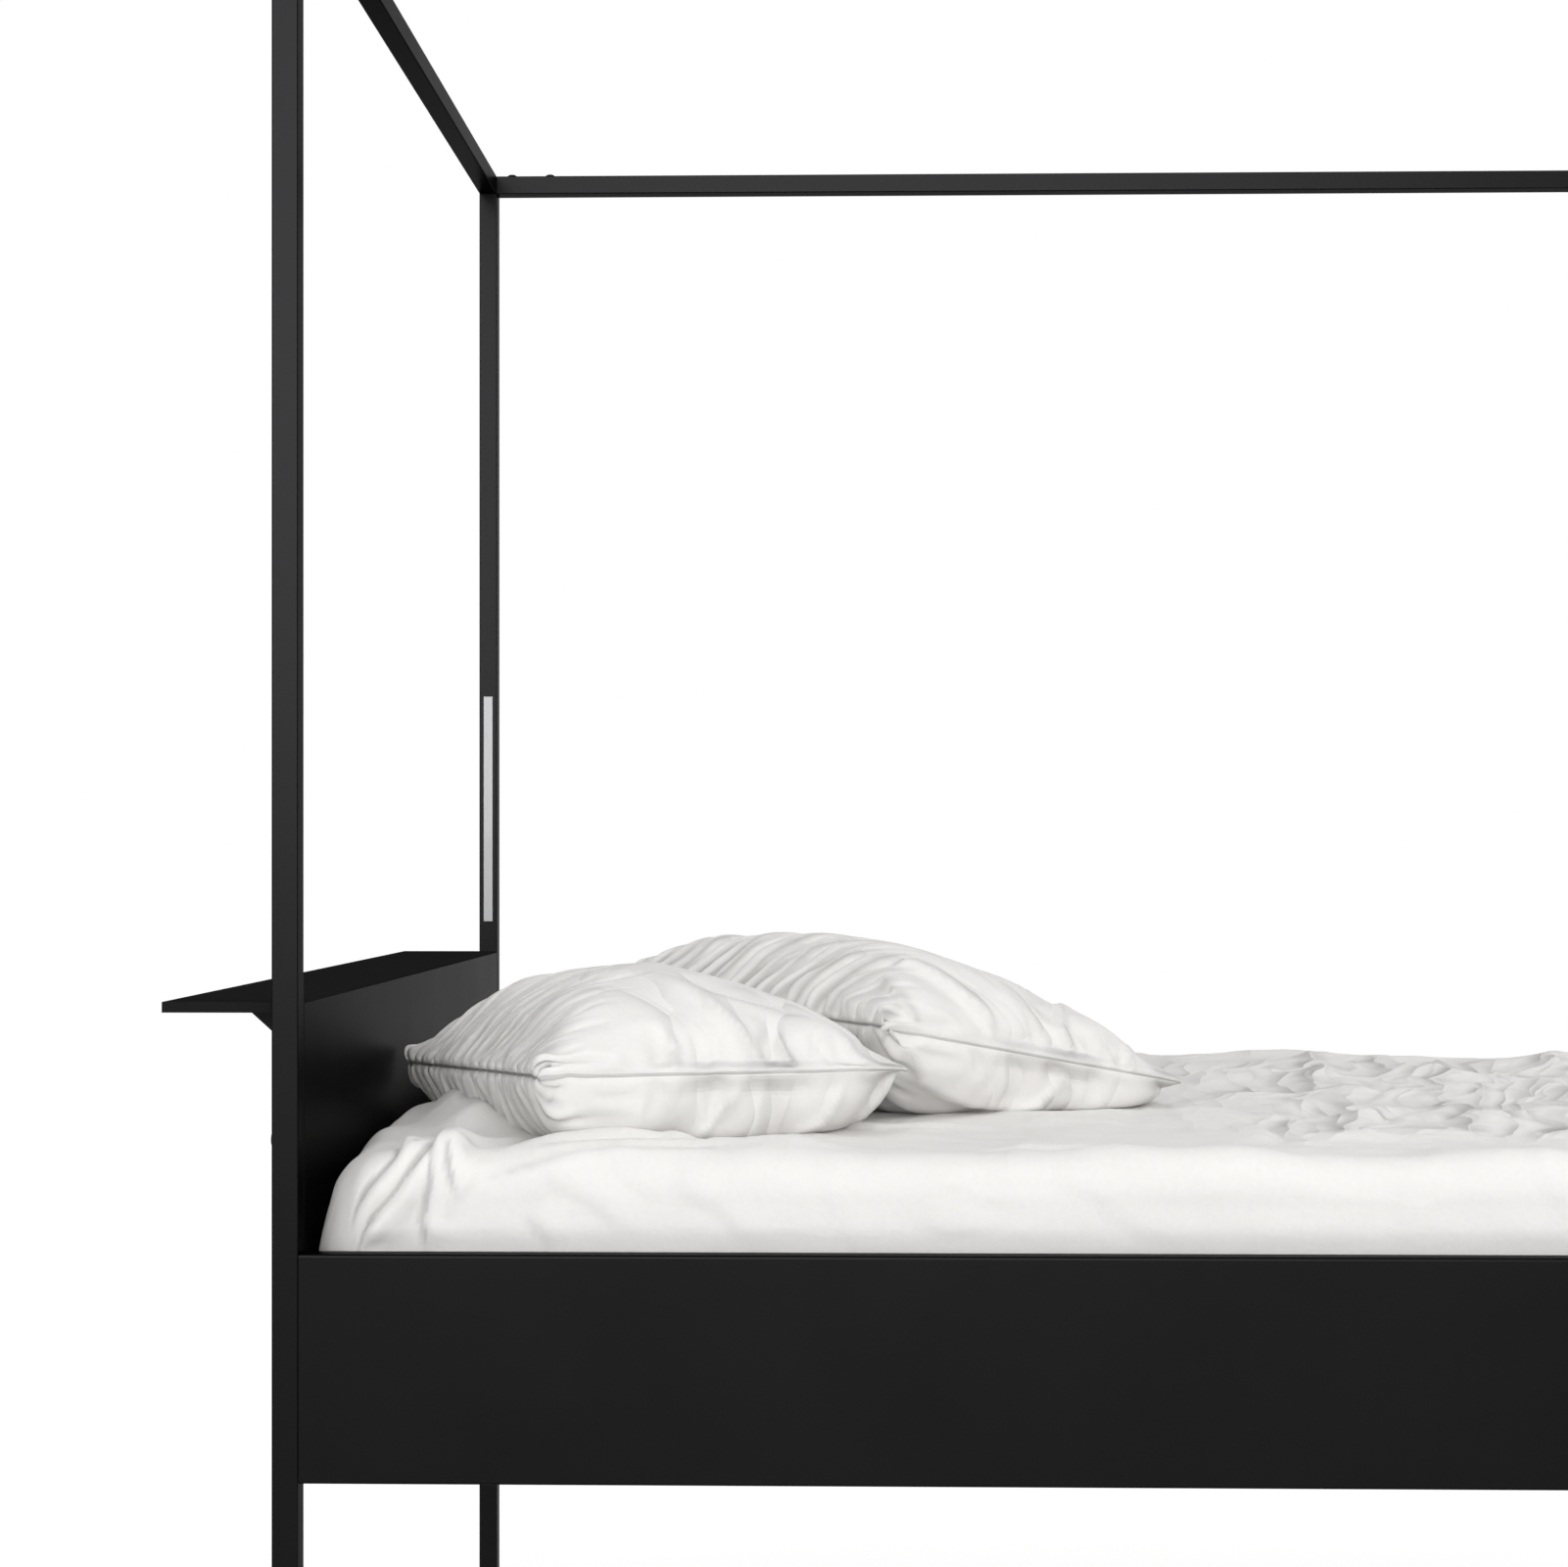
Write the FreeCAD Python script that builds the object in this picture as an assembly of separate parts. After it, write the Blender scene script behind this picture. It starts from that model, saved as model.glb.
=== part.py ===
"""A single four-poster canopy bed in square steel tube and folded sheet.

Frame: +X runs from the head to the foot, +Z is up, and left (-Y) and right (+Y) are as
seen from the foot, looking to the head. The origin is on the floor, under the middle of
the bed with its shelf. All sizes are in millimetres.
"""
import FreeCAD
import Part
import math
import os

V = FreeCAD.Vector
X, Y, Z = V(1, 0, 0), V(0, 1, 0), V(0, 0, 1)

# ---- Overall sizes
FRAME_LENGTH = 2065.0     # outside of the head posts to outside of the foot posts
FRAME_WIDTH = 1250.0      # outside of the left posts to outside of the right posts
FRAME_HEIGHT = 2000.0     # floor to the top of the canopy rails

# ---- Square tube of the posts and canopy rails
TUBE = 25.0
TUBE_WALL = 2.0
TUBE_CORNER = 1.5         # outside corner radius

# ---- Folded sheet panels round the mattress
SHEET = 2.0
BEND = 3.0                # outside radius of a fold
PANEL_BOTTOM = 452.5      # floor to the underside of the side and foot panels
PANEL_HEIGHT = 216.0
PANEL_FLANGE = 20.0
PANEL_GAP = 0.5           # shadow gap between a panel and a post
END_PLATE = 4.0

# ---- Headboard and shelf
SHELF_TOP = 904.5         # floor to the top of the shelf
SHELF_EDGE = 10.4         # height of the folded edge
SHELF_OVERHANG = 108.4    # how far the shelf reaches behind the posts
SHELF_INSET = 17.0        # shelf end to the outside of a post
BOARD_SETBACK = 2.0       # rear of the headboard's flanges in from the posts' rear faces
BRACKET = 3.0
BRACKET_DROP = 100.0
BRACKET_INSET = 200.0     # outer shelf brackets, from the posts' inner faces
STUD_INSET = 100.0        # outer shelf studs, from the posts' inner faces
STUD_MIDDLE = 150.0       # inner shelf studs, from the bed's middle

# ---- Reading lights in the head posts
LIGHT_LOW = 947.0         # floor to the lower end of the lens
LIGHT_LENGTH = 317.5
LIGHT_WIDTH = 12.5        # slot in the post's inner face
LENS_CLEARANCE = 0.1
CHANNEL_WIDTH = 16.5
CHANNEL_DEPTH = 9.0
CHANNEL_WALL = 1.2
BOARD_WIDTH = 10.0
BOARD_THICK = 1.2
CHANNEL_CAP = 2.0
INLET_HEIGHT = 775.0
INLET_RADIUS = 5.5        # body of the low-voltage socket
LEAD_RADIUS = 1.2
LEAD_OVERLAP = 0.45       # how far the lead reaches under the light's end cap

# ---- Slatted base
SUPPORT_TOP = 510.0       # floor to the ledge that carries the slatted base
SUPPORT_LEG = (40.0, 30.0)
SUPPORT_WALL = 3.0
SUPPORT_START = 30.0      # ledge end to the post
BASE_WIDTH_GAP = 2.0      # slatted base to the panel flange
STILE = (25.0, 48.0)
SLATS = 14
SLAT = (68.0, 8.0)
CAP = (76.0, 40.0, 12.0)  # along the bed, across it, and high
CAP_FIT = 0.1
SLAT_SEAT = 28.0          # how deep a slat sits in its cap

# ---- Bedding
END_ROOM = 7.5            # mattress and slatted base to the headboard and the foot posts
MATTRESS_HEIGHT = 180.0
MATTRESS_SIDE_GAP = 7.0   # mattress to the panel flange
MATTRESS_CORNER = 50.0
MATTRESS_EDGE = 30.0
SOFT_GAP = 0.3
SHEET_CLOTH = 3.6         # room that the fitted sheet takes up round the mattress
SHEET_DROP = 160.0        # how far the fitted sheet reaches down the mattress
PILLOW = (385.0, 530.0, 150.0)
PILLOW_ROUND = 60.0

# ---- Feet
PAD_HEIGHT = 10.0
PAD_RADIUS = 12.0
INSERT_FLANGE = 2.0
INSERT_DEPTH = 25.0
INSERT_FIT = 0.1
GLIDE_RADIUS = 4.0        # the glide's threaded stud
GLIDE_LENGTH = 45.0
GLIDE_FIT = 0.05
PAD_SOCKET = 6.0

# ---- Fasteners: shank radius, head radius, head height, hexagon across flats
M8 = (4.0, 7.0, 4.4, 5.0)
M6 = (3.0, 5.25, 3.3, 4.0)
HOLE_ROOM = 0.25          # clearance hole over shank, in radius
THREAD_ROOM = 0.05        # tapped hole over shank, in radius
NUT_M8 = (5.5, 6.5, 16.0)  # rivet nut: body radius, flange radius, length
NUT_M6 = (4.5, 5.5, 13.0)
BOLT_M8 = 18.0
BOLT_M6 = 12.0
RAIL_SCREW = 16.0
RAIL_SCREW_AT = (20.0, 74.0)  # canopy screws, from the post
SPIGOT_LENGTH = 100.0
SPIGOT_WALL = 3.0
SPIGOT_FIT = 0.2
SIDE_BOLT_INSET = 60.0
FOOT_BOLT_INSET = 32.0
BOARD_SCREWS_AT = (25.0, 230.0, 407.0)  # above the panel bottom

# ---- Places worked out from the sizes
HEAD_X = -(FRAME_LENGTH + SHELF_OVERHANG) / 2 + SHELF_OVERHANG
FOOT_X = HEAD_X + FRAME_LENGTH
SIDE_Y = FRAME_WIDTH / 2
POST_Y = SIDE_Y - TUBE            # inner faces of the posts
IN_HEAD = HEAD_X + TUBE
IN_FOOT = FOOT_X - TUBE
POST_BASE = PAD_HEIGHT + INSERT_FLANGE
PANEL_TOP = PANEL_BOTTOM + PANEL_HEIGHT
FLANGE_Y = SIDE_Y - PANEL_FLANGE
SHELF_UNDER = SHELF_TOP - SHEET
SIDES = {"left": -1, "right": 1}
ENDS = ("head", "foot")


def save(name, *solids):
    shape = solids[0] if len(solids) == 1 else Part.makeCompound(list(solids))
    shape.exportStep("parts/" + name + ".step")


def box(x, y, z):
    """A block between pairs of limits, given in either order."""
    low = [min(pair) for pair in (x, y, z)]
    size = [abs(pair[1] - pair[0]) for pair in (x, y, z)]
    return Part.makeBox(*size, V(*low))


def along(edge, axis):
    span = edge.Vertexes[-1].Point - edge.Vertexes[0].Point
    return span.Length > 0 and span.cross(axis).Length < 1e-6 * span.Length


def bar(x, y, z, axis, radius):
    """A block whose four long edges are rounded."""
    block = box(x, y, z)
    return block.makeFillet(radius, [e for e in block.Edges if along(e, axis)])


def tube(x, y, z, axis, wall=TUBE_WALL, corner=TUBE_CORNER):
    """A square tube along an axis, open at both ends."""
    limits = []
    for pair, direction in zip((x, y, z), (X, Y, Z)):
        inward = 0 if direction == axis else wall
        limits.append((min(pair) + inward, max(pair) - inward))
    return bar(x, y, z, axis, corner).cut(box(*limits))


def extruded(points, travel):
    """A flat outline moved along a vector."""
    return Part.Face(Part.makePolygon(points + points[:1])).extrude(travel)


def rod(radius, start, direction, length):
    return Part.makeCylinder(radius, length, start, direction)


def turned(outline, place, direction):
    """A profile of (radius, height) points spun about its axis and stood on a place."""
    points = [V(r, 0, h) for r, h in outline]
    solid = Part.Face(Part.makePolygon(points + points[:1])).revolve(V(), Z, 360)
    solid.Placement = FreeCAD.Placement(place, FreeCAD.Rotation(Z, direction))
    return solid


def button_screw(size, seat, outward, length):
    """A button-head screw: its head stands on the seat and its shank runs inward."""
    shank, head, height, flats = size
    rim = height * 0.3
    profile = [V(0, 0, 0), V(head, 0, 0), V(head, 0, rim)]
    dome = Part.Arc(profile[-1], V(head * 0.83, 0, height * 0.75), V(head * 0.5, 0, height))
    lines = [Part.makeLine(a, b) for a, b in zip(profile, profile[1:])]
    top = [Part.makeLine(V(head * 0.5, 0, height), V(0, 0, height))]
    axis = [Part.makeLine(V(0, 0, height), V(0, 0, 0))]
    face = Part.Face(Part.Wire(lines + [dome.toShape()] + top + axis))
    solid = face.revolve(V(), Z, 360)
    solid = solid.fuse(rod(shank, V(0, 0, 0), -Z, length))
    solid = solid.cut(hexagon(flats, V(0, 0, height * 0.4), height))
    solid.Placement = FreeCAD.Placement(seat, FreeCAD.Rotation(Z, outward))
    return solid


def hexagon(flats, place, height):
    """An upright hexagonal block."""
    radius = flats / 2 / math.cos(math.pi / 6)
    corners = []
    for turn in range(6):
        angle = turn * math.pi / 3
        corners.append(place + V(radius * math.cos(angle), radius * math.sin(angle), 0))
    return extruded(corners, Z * height)


def rivet_nut(kind, shank, face, outward):
    """A blind threaded insert set in a post's wall, its flange on the face."""
    body, flange, length = kind
    bore = shank + THREAD_ROOM
    outline = [(bore, -length), (body, -length), (body, 0), (flange, 0)]
    outline += [(flange, PANEL_GAP), (bore, PANEL_GAP)]
    return turned(outline, face, outward)


# ---- Bolted joints: where each one meets a post, which way it leaves it, and its size
def panel_joints():
    joints = []
    for side in SIDES.values():
        for height in (PANEL_BOTTOM + SIDE_BOLT_INSET, PANEL_TOP - SIDE_BOLT_INSET):
            y = side * (SIDE_Y - TUBE / 2)
            joints.append(("head", side, V(IN_HEAD, y, height), X))
            joints.append(("foot", side, V(IN_FOOT, y, height), -X))
        for height in (PANEL_BOTTOM + FOOT_BOLT_INSET, PANEL_TOP - FOOT_BOLT_INSET):
            place = V(FOOT_X - TUBE / 2, side * POST_Y, height)
            joints.append(("foot", side, place, Y * -side))
    return joints


def board_joints():
    joints = []
    for side in SIDES.values():
        for height in BOARD_SCREWS_AT:
            place = V(HEAD_X + TUBE / 2, side * POST_Y, PANEL_BOTTOM + height)
            joints.append(("head", side, place, Y * -side))
    return joints


# ---- Posts, canopy and feet
def mitre(side, keep_post):
    """The wedge that a post or a cross rail loses at a top corner."""
    over = 5.0
    outer, inner = side * (SIDE_Y + over), side * (POST_Y - over)
    top, low = FRAME_HEIGHT + over, FRAME_HEIGHT - TUBE - over
    third = V(0, inner, top) if keep_post else V(0, outer, low)
    corners = [V(0, outer, top), V(0, inner, low), third]
    wedge = extruded(corners, X * (FRAME_LENGTH + 2 * over))
    wedge.translate(V(HEAD_X - over, 0, 0))
    return wedge


def light_slot(side, clearance=0.0):
    """The slot through the post's inner wall, or the lens that fills it."""
    middle = HEAD_X + TUBE / 2
    half = LIGHT_WIDTH / 2 - clearance
    low, high = LIGHT_LOW + clearance, LIGHT_LOW + LIGHT_LENGTH - clearance
    return box((middle - half, middle + half), (side * POST_Y, side * (POST_Y + TUBE_WALL)), (low, high))


def post(end, side):
    x = (HEAD_X, IN_HEAD) if end == "head" else (IN_FOOT, FOOT_X)
    shape = tube(x, (side * POST_Y, side * SIDE_Y), (POST_BASE, FRAME_HEIGHT), Z)
    shape = shape.cut(mitre(side, True))
    drill = TUBE_WALL + 1.0
    for joints, kind in ((panel_joints(), NUT_M8), (board_joints(), NUT_M6)):
        for joint_end, joint_side, place, outward in joints:
            if (joint_end, joint_side) == (end, side):
                hole = rod(kind[0] + THREAD_ROOM, place + outward, -outward, drill + 1.0)
                shape = shape.cut(hole)
    if end == "head":
        shape = shape.cut(light_slot(side))
        shape = shape.cut(rod(INLET_RADIUS + THREAD_ROOM, inlet_place(side) - X, X, drill + 1.0))
    return shape


def long_rail(side):
    shape = tube((IN_HEAD, IN_FOOT), (side * POST_Y, side * SIDE_Y),
                 (FRAME_HEIGHT - TUBE, FRAME_HEIGHT), X)
    for seat in rail_screw_seats(side):
        shape = shape.cut(rod(M8[0] + HOLE_ROOM, seat + Z, -Z, TUBE / 2))
    return shape


def cross_rail(end):
    x = (HEAD_X, IN_HEAD) if end == "head" else (IN_FOOT, FOOT_X)
    shape = tube(x, (-SIDE_Y, SIDE_Y), (FRAME_HEIGHT - TUBE, FRAME_HEIGHT), Y)
    for side in SIDES.values():
        shape = shape.cut(mitre(side, False))
    return shape


def rail_screw_seats(side):
    seats = []
    for at in RAIL_SCREW_AT:
        for x in (IN_HEAD + at, IN_FOOT - at):
            seats.append(V(x, side * (SIDE_Y - TUBE / 2), FRAME_HEIGHT))
    return seats


def spigots():
    """The stubs welded to the posts, over which the long canopy rails slide."""
    inward = TUBE_WALL + SPIGOT_FIT
    stubs = []
    for side in SIDES.values():
        y = (side * (POST_Y + inward), side * (SIDE_Y - inward))
        z = (FRAME_HEIGHT - TUBE + inward, FRAME_HEIGHT - inward)
        for x in ((IN_HEAD, IN_HEAD + SPIGOT_LENGTH), (IN_FOOT - SPIGOT_LENGTH, IN_FOOT)):
            stub = tube(x, y, z, X, SPIGOT_WALL, 1.0)
            for seat in rail_screw_seats(side):
                if x[0] < seat.x < x[1]:
                    stub = stub.cut(rod(M8[0] + THREAD_ROOM, seat, -Z, TUBE / 2))
            stubs.append(stub)
    return stubs


def foot_place(end, side):
    x = HEAD_X + TUBE / 2 if end == "head" else FOOT_X - TUBE / 2
    return V(x, side * (SIDE_Y - TUBE / 2), 0)


def foot_insert(end, side):
    """The plug in the bottom of a post, tapped for its glide."""
    place = foot_place(end, side)
    inner = TUBE / 2 - TUBE_WALL - INSERT_FIT
    outer = TUBE / 2
    flange = bar((place.x - outer, place.x + outer), (place.y - outer, place.y + outer),
                 (PAD_HEIGHT, POST_BASE), Z, TUBE_CORNER)
    plug = box((place.x - inner, place.x + inner), (place.y - inner, place.y + inner),
               (POST_BASE, POST_BASE + INSERT_DEPTH))
    bore = rod(GLIDE_RADIUS + GLIDE_FIT, place, Z, POST_BASE + INSERT_DEPTH + 1)
    return flange.fuse(plug).cut(bore)


def glide_pad(end, side):
    top = PAD_HEIGHT - SOFT_GAP
    socket, floor = GLIDE_RADIUS + GLIDE_FIT / 2, top - PAD_SOCKET
    edge = 1.5
    outline = [(0, 0), (PAD_RADIUS - edge, 0), (PAD_RADIUS, edge), (PAD_RADIUS, top - 1)]
    outline += [(PAD_RADIUS - 1, top), (socket, top), (socket, floor), (0, floor)]
    return turned(outline, foot_place(end, side), Z)


def glide_stud(end, side):
    start = foot_place(end, side) + Z * (PAD_HEIGHT - SOFT_GAP - PAD_SOCKET)
    return rod(GLIDE_RADIUS, start, Z, GLIDE_LENGTH)


# ---- Folded panels
def channel(length):
    """A panel lying along X with its outer face at y = 0 and its flanges towards +Y."""
    deep = PANEL_FLANGE + 2 * BEND
    outer = bar((0, length), (0, deep), (0, PANEL_HEIGHT), X, BEND)
    hollow = bar((0, length), (SHEET, 2 * deep), (SHEET, PANEL_HEIGHT - SHEET), X, BEND - SHEET)
    spare = box((-1, length + 1), (PANEL_FLANGE, 2 * deep), (-1, PANEL_HEIGHT + 1))
    return outer.cut(hollow).cut(spare)


def end_plates(length, insets, bolt_line):
    """The two plates that close a channel's ends and take its bolts."""
    plates = []
    for x in ((0, END_PLATE), (length - END_PLATE, length)):
        plate = bar(x, (SHEET, PANEL_FLANGE), (SHEET, PANEL_HEIGHT - SHEET), X, BEND - SHEET)
        for height in (insets, PANEL_HEIGHT - insets):
            hole = rod(M8[0] + HOLE_ROOM, V(x[0] - 1, bolt_line, height), X, END_PLATE + 2)
            plate = plate.cut(hole)
        plates.append(plate)
    return plates


def placed(shape, turn, place):
    """A copy of a shape, turned about Z and then moved."""
    copy = shape.copy()
    copy.rotate(V(), Z, turn)
    copy.translate(place)
    return copy


def headboard():
    """A pan between the head posts, its face flush with theirs towards the mattress."""
    half = POST_Y - PANEL_GAP
    rear = HEAD_X + BOARD_SETBACK
    pan = box((rear, IN_HEAD), (-half, half), (PANEL_BOTTOM, SHELF_UNDER))
    bends = [e for e in pan.Edges if abs(e.CenterOfMass.x - IN_HEAD) < 1e-6 and along(e, Z)]
    pan = pan.makeFillet(SHEET / 2, bends)
    inner = half - SHEET
    pan = pan.cut(box((rear - 1, IN_HEAD - SHEET), (-inner, inner),
                      (PANEL_BOTTOM + SHEET, SHELF_UNDER - SHEET)))
    for _, _, place, outward in board_joints():
        pan = pan.cut(rod(M6[0] + HOLE_ROOM, place, outward, PANEL_GAP + SHEET + 1))
    for place in stud_places():
        pan = pan.cut(rod(M6[0] + HOLE_ROOM, place + Z, -Z, SHEET + 2))
    return pan


def shelf():
    """A shallow tray: its top runs over the headboard and its edges are folded down."""
    half = SIDE_Y - SHELF_INSET
    rear = HEAD_X - SHELF_OVERHANG
    low = SHELF_TOP - SHELF_EDGE
    tray = box((rear, IN_HEAD), (-half, half), (low, SHELF_TOP))
    bends = []
    for edge in tray.Edges:
        middle = edge.CenterOfMass
        if middle.z > SHELF_TOP - 1e-6 and middle.x < IN_HEAD - 1e-6:
            bends.append(edge)
    tray = tray.makeFillet(SHEET / 2, bends)
    tray = tray.cut(box((rear + SHEET, IN_HEAD + 1), (-half + SHEET, half - SHEET), (low - 1, SHELF_UNDER)))
    for side in SIDES.values():
        y = (side * (POST_Y - PANEL_GAP), side * SIDE_Y)
        tray = tray.cut(box((HEAD_X - PANEL_GAP, IN_HEAD + 1), y, (low - 1, SHELF_TOP + 1)))
    return tray


def stud_places():
    outer = POST_Y - STUD_INSET
    spread = (-outer, -STUD_MIDDLE, STUD_MIDDLE, outer)
    return [V(HEAD_X + TUBE / 2, y, SHELF_UNDER) for y in spread]


def shelf_brackets():
    """Gussets welded behind the headboard, under the shelf."""
    face, under = IN_HEAD - SHEET, SHELF_UNDER - SHEET
    step = HEAD_X + BOARD_SETBACK - 0.3
    tip = HEAD_X - SHELF_OVERHANG * 0.8
    outline = [(tip, SHELF_UNDER), (step, SHELF_UNDER), (step, under), (face, under)]
    outline += [(face, under - BRACKET_DROP), (face - 8, under - BRACKET_DROP), (tip, under - 8)]
    plates = []
    outer = POST_Y - BRACKET_INSET
    for y in (-outer, 0.0, outer):
        corners = [V(px, y - BRACKET / 2, pz) for px, pz in outline]
        plates.append(extruded(corners, Y * BRACKET))
    return plates


def shelf_nut(place):
    """A hexagon nut under the headboard's top flange."""
    seat = place - Z * (SHEET + 5.0)
    return hexagon(10.0, seat, 5.0).cut(rod(M6[0] + THREAD_ROOM, seat - Z, Z, 7.0))


# ---- Reading lights
def inlet_place(side):
    return V(HEAD_X, side * (SIDE_Y - TUBE / 2), INLET_HEIGHT)


def light_channel(side):
    middle, depth = HEAD_X + TUBE / 2, POST_Y + TUBE_WALL
    half, inner = CHANNEL_WIDTH / 2, CHANNEL_WIDTH / 2 - CHANNEL_WALL
    z = (LIGHT_LOW, LIGHT_LOW + LIGHT_LENGTH)
    outer = box((middle - half, middle + half), (side * depth, side * (depth + CHANNEL_DEPTH)), z)
    floor = depth + CHANNEL_DEPTH - CHANNEL_WALL
    return outer.cut(box((middle - inner, middle + inner), (side * (depth - 1), side * floor), z))


def light_board(side):
    """The LED strip on the channel's floor: a board and a row of emitters."""
    middle = HEAD_X + TUBE / 2
    floor = side * (POST_Y + TUBE_WALL + CHANNEL_DEPTH - CHANNEL_WALL)
    top = floor - side * BOARD_THICK
    z = (LIGHT_LOW + 1, LIGHT_LOW + LIGHT_LENGTH - 1)
    strip = box((middle - BOARD_WIDTH / 2, middle + BOARD_WIDTH / 2), (floor, top), z)
    emitters = 18
    pitch = (z[1] - z[0]) / emitters
    for row in range(emitters):
        height = z[0] + pitch * (row + 0.5)
        strip = strip.fuse(box((middle - 1.75, middle + 1.75), (top, top - side * 0.7),
                               (height - 1.4, height + 1.4)))
    return strip


def light_lens(side):
    """The opal lens: a bar in the slot on a wider foot inside the channel."""
    middle = HEAD_X + TUBE / 2
    foot = CHANNEL_WIDTH / 2 - CHANNEL_WALL - LENS_CLEARANCE
    depth = POST_Y + TUBE_WALL
    body = box((middle - foot, middle + foot), (side * depth, side * (depth + 2.5)),
               (LIGHT_LOW + LENS_CLEARANCE, LIGHT_LOW + LIGHT_LENGTH - LENS_CLEARANCE))
    return light_slot(side, LENS_CLEARANCE).fuse(body).removeSplitter()


def light_caps(side):
    middle, depth = HEAD_X + TUBE / 2, POST_Y + TUBE_WALL
    x = (middle - CHANNEL_WIDTH / 2, middle + CHANNEL_WIDTH / 2)
    y = (side * depth, side * (depth + CHANNEL_DEPTH))
    top = LIGHT_LOW + LIGHT_LENGTH
    return [box(x, y, (LIGHT_LOW - CHANNEL_CAP, LIGHT_LOW)), box(x, y, (top, top + CHANNEL_CAP))]


def light_inlet(side):
    """A low-voltage socket in the rear face of a head post, with its centre pin."""
    flange = INLET_RADIUS + 1.5
    outline = [(0, 12), (INLET_RADIUS, 12), (INLET_RADIUS, 0), (flange, 0), (flange, -1.0)]
    outline += [(flange - 1.0, -2.0), (2.75, -2.0)]
    outline += [(2.75, 9.0), (1.05, 9.0), (1.05, -0.5), (0, -0.5)]
    return turned(outline, inlet_place(side), X)


def light_lead(side):
    """The short lead inside the post, from the socket up to the light."""
    deep = TUBE_WALL + CHANNEL_DEPTH - LEAD_RADIUS - 0.1
    x = HEAD_X + TUBE / 2 - CHANNEL_WIDTH / 2 - LEAD_RADIUS + LEAD_OVERLAP
    beside = max(TUBE / 2 - deep - LEAD_RADIUS, 0.0)
    start = V(x, side * (POST_Y + deep), INLET_HEIGHT + math.sqrt(INLET_RADIUS ** 2 - beside ** 2) + 0.1)
    return rod(LEAD_RADIUS, start, Z, LIGHT_LOW - CHANNEL_CAP - start.z)


# ---- Slatted base
def slat_support(side):
    """The ledge welded inside a side panel."""
    wide, tall = SUPPORT_LEG
    wall = SIDE_Y - SHEET
    outline = [(wall, SUPPORT_TOP - tall), (wall, SUPPORT_TOP), (wall - wide, SUPPORT_TOP)]
    outline += [(wall - wide, SUPPORT_TOP - SUPPORT_WALL), (wall - SUPPORT_WALL, SUPPORT_TOP - SUPPORT_WALL)]
    outline += [(wall - SUPPORT_WALL, SUPPORT_TOP - tall)]
    start = IN_HEAD + SUPPORT_START
    corners = [V(start, side * y, z) for y, z in outline]
    ledge = extruded(corners, X * (IN_FOOT - SUPPORT_START - start))
    return ledge.cut(rod(M6[0] + THREAD_ROOM, cross_bar_seat(side), Z, TUBE + 2 * SUPPORT_WALL))


def cross_bar_seat(side):
    y = side * (SIDE_Y - SHEET - SUPPORT_LEG[0] * 0.6)
    return V((IN_HEAD + IN_FOOT) / 2, y, SUPPORT_TOP - SUPPORT_WALL - TUBE)


def cross_bar():
    middle = (IN_HEAD + IN_FOOT) / 2
    half = SIDE_Y - SHEET - SUPPORT_WALL - PANEL_GAP
    top = SUPPORT_TOP - SUPPORT_WALL
    shape = tube((middle - TUBE / 2, middle + TUBE / 2), (-half, half), (top - TUBE, top), Y)
    for side in SIDES.values():
        shape = shape.cut(rod(M6[0] + HOLE_ROOM, cross_bar_seat(side) - Z, Z, TUBE + 2))
    return shape


def slat_centres():
    start, stop = IN_HEAD + END_ROOM + STILE[0], IN_FOOT - END_ROOM - STILE[0]
    edge = CAP[0] / 2
    pitch = (stop - start - CAP[0]) / (SLATS - 1)
    return [start + edge + pitch * n for n in range(SLATS)]


def slat_cap(x, side):
    """The holder that a slat's end is pushed into."""
    outer = FLANGE_Y - BASE_WIDTH_GAP
    low = SUPPORT_TOP + STILE[1]
    block = bar((x - CAP[0] / 2, x + CAP[0] / 2), (side * outer, side * (outer - CAP[1])),
                (low, low + CAP[2]), Y, 2.0)
    wide, middle = SLAT[0] / 2 + CAP_FIT, low + CAP[2] / 2
    high = SLAT[1] / 2 + CAP_FIT
    pocket = box((x - wide, x + wide), (side * (outer - CAP[1] - 1), side * slat_end(CAP_FIT)),
                 (middle - high, middle + high))
    return block.cut(pocket)


def slat_end(room):
    return FLANGE_Y - BASE_WIDTH_GAP - CAP[1] + SLAT_SEAT + room


def slat(x):
    middle = SUPPORT_TOP + STILE[1] + CAP[2] / 2
    return box((x - SLAT[0] / 2, x + SLAT[0] / 2), (-slat_end(0), slat_end(0)),
               (middle - SLAT[1] / 2, middle + SLAT[1] / 2))


def stile(side):
    outer = FLANGE_Y - BASE_WIDTH_GAP
    return box((IN_HEAD + END_ROOM, IN_FOOT - END_ROOM), (side * outer, side * (outer - STILE[0])),
               (SUPPORT_TOP, SUPPORT_TOP + STILE[1]))


def base_rail(end):
    x = IN_HEAD + END_ROOM if end == "head" else IN_FOOT - END_ROOM - STILE[0]
    half = FLANGE_Y - BASE_WIDTH_GAP - STILE[0]
    return box((x, x + STILE[0]), (-half, half), (SUPPORT_TOP, SUPPORT_TOP + STILE[1]))


# ---- Bedding
MATTRESS_LOW = SUPPORT_TOP + STILE[1] + CAP[2]
MATTRESS_TOP = MATTRESS_LOW + MATTRESS_HEIGHT
BEDDING_TOP = MATTRESS_TOP + SOFT_GAP + SHEET_CLOTH


def soft_block(grow, low, top, round_below):
    """The mattress's rounded block, grown all round, between two heights."""
    half = FLANGE_Y - MATTRESS_SIDE_GAP + grow
    x = (IN_HEAD + END_ROOM - grow, IN_FOOT - END_ROOM + grow)
    block = bar(x, (-half, half), (low, top), Z, MATTRESS_CORNER + grow)
    rims = []
    for edge in block.Edges:
        z = edge.CenterOfMass.z
        if z > top - 1e-6 or (round_below and z < low + 1e-6):
            rims.append(edge)
    return block.makeFillet(MATTRESS_EDGE + grow, rims)


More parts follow.
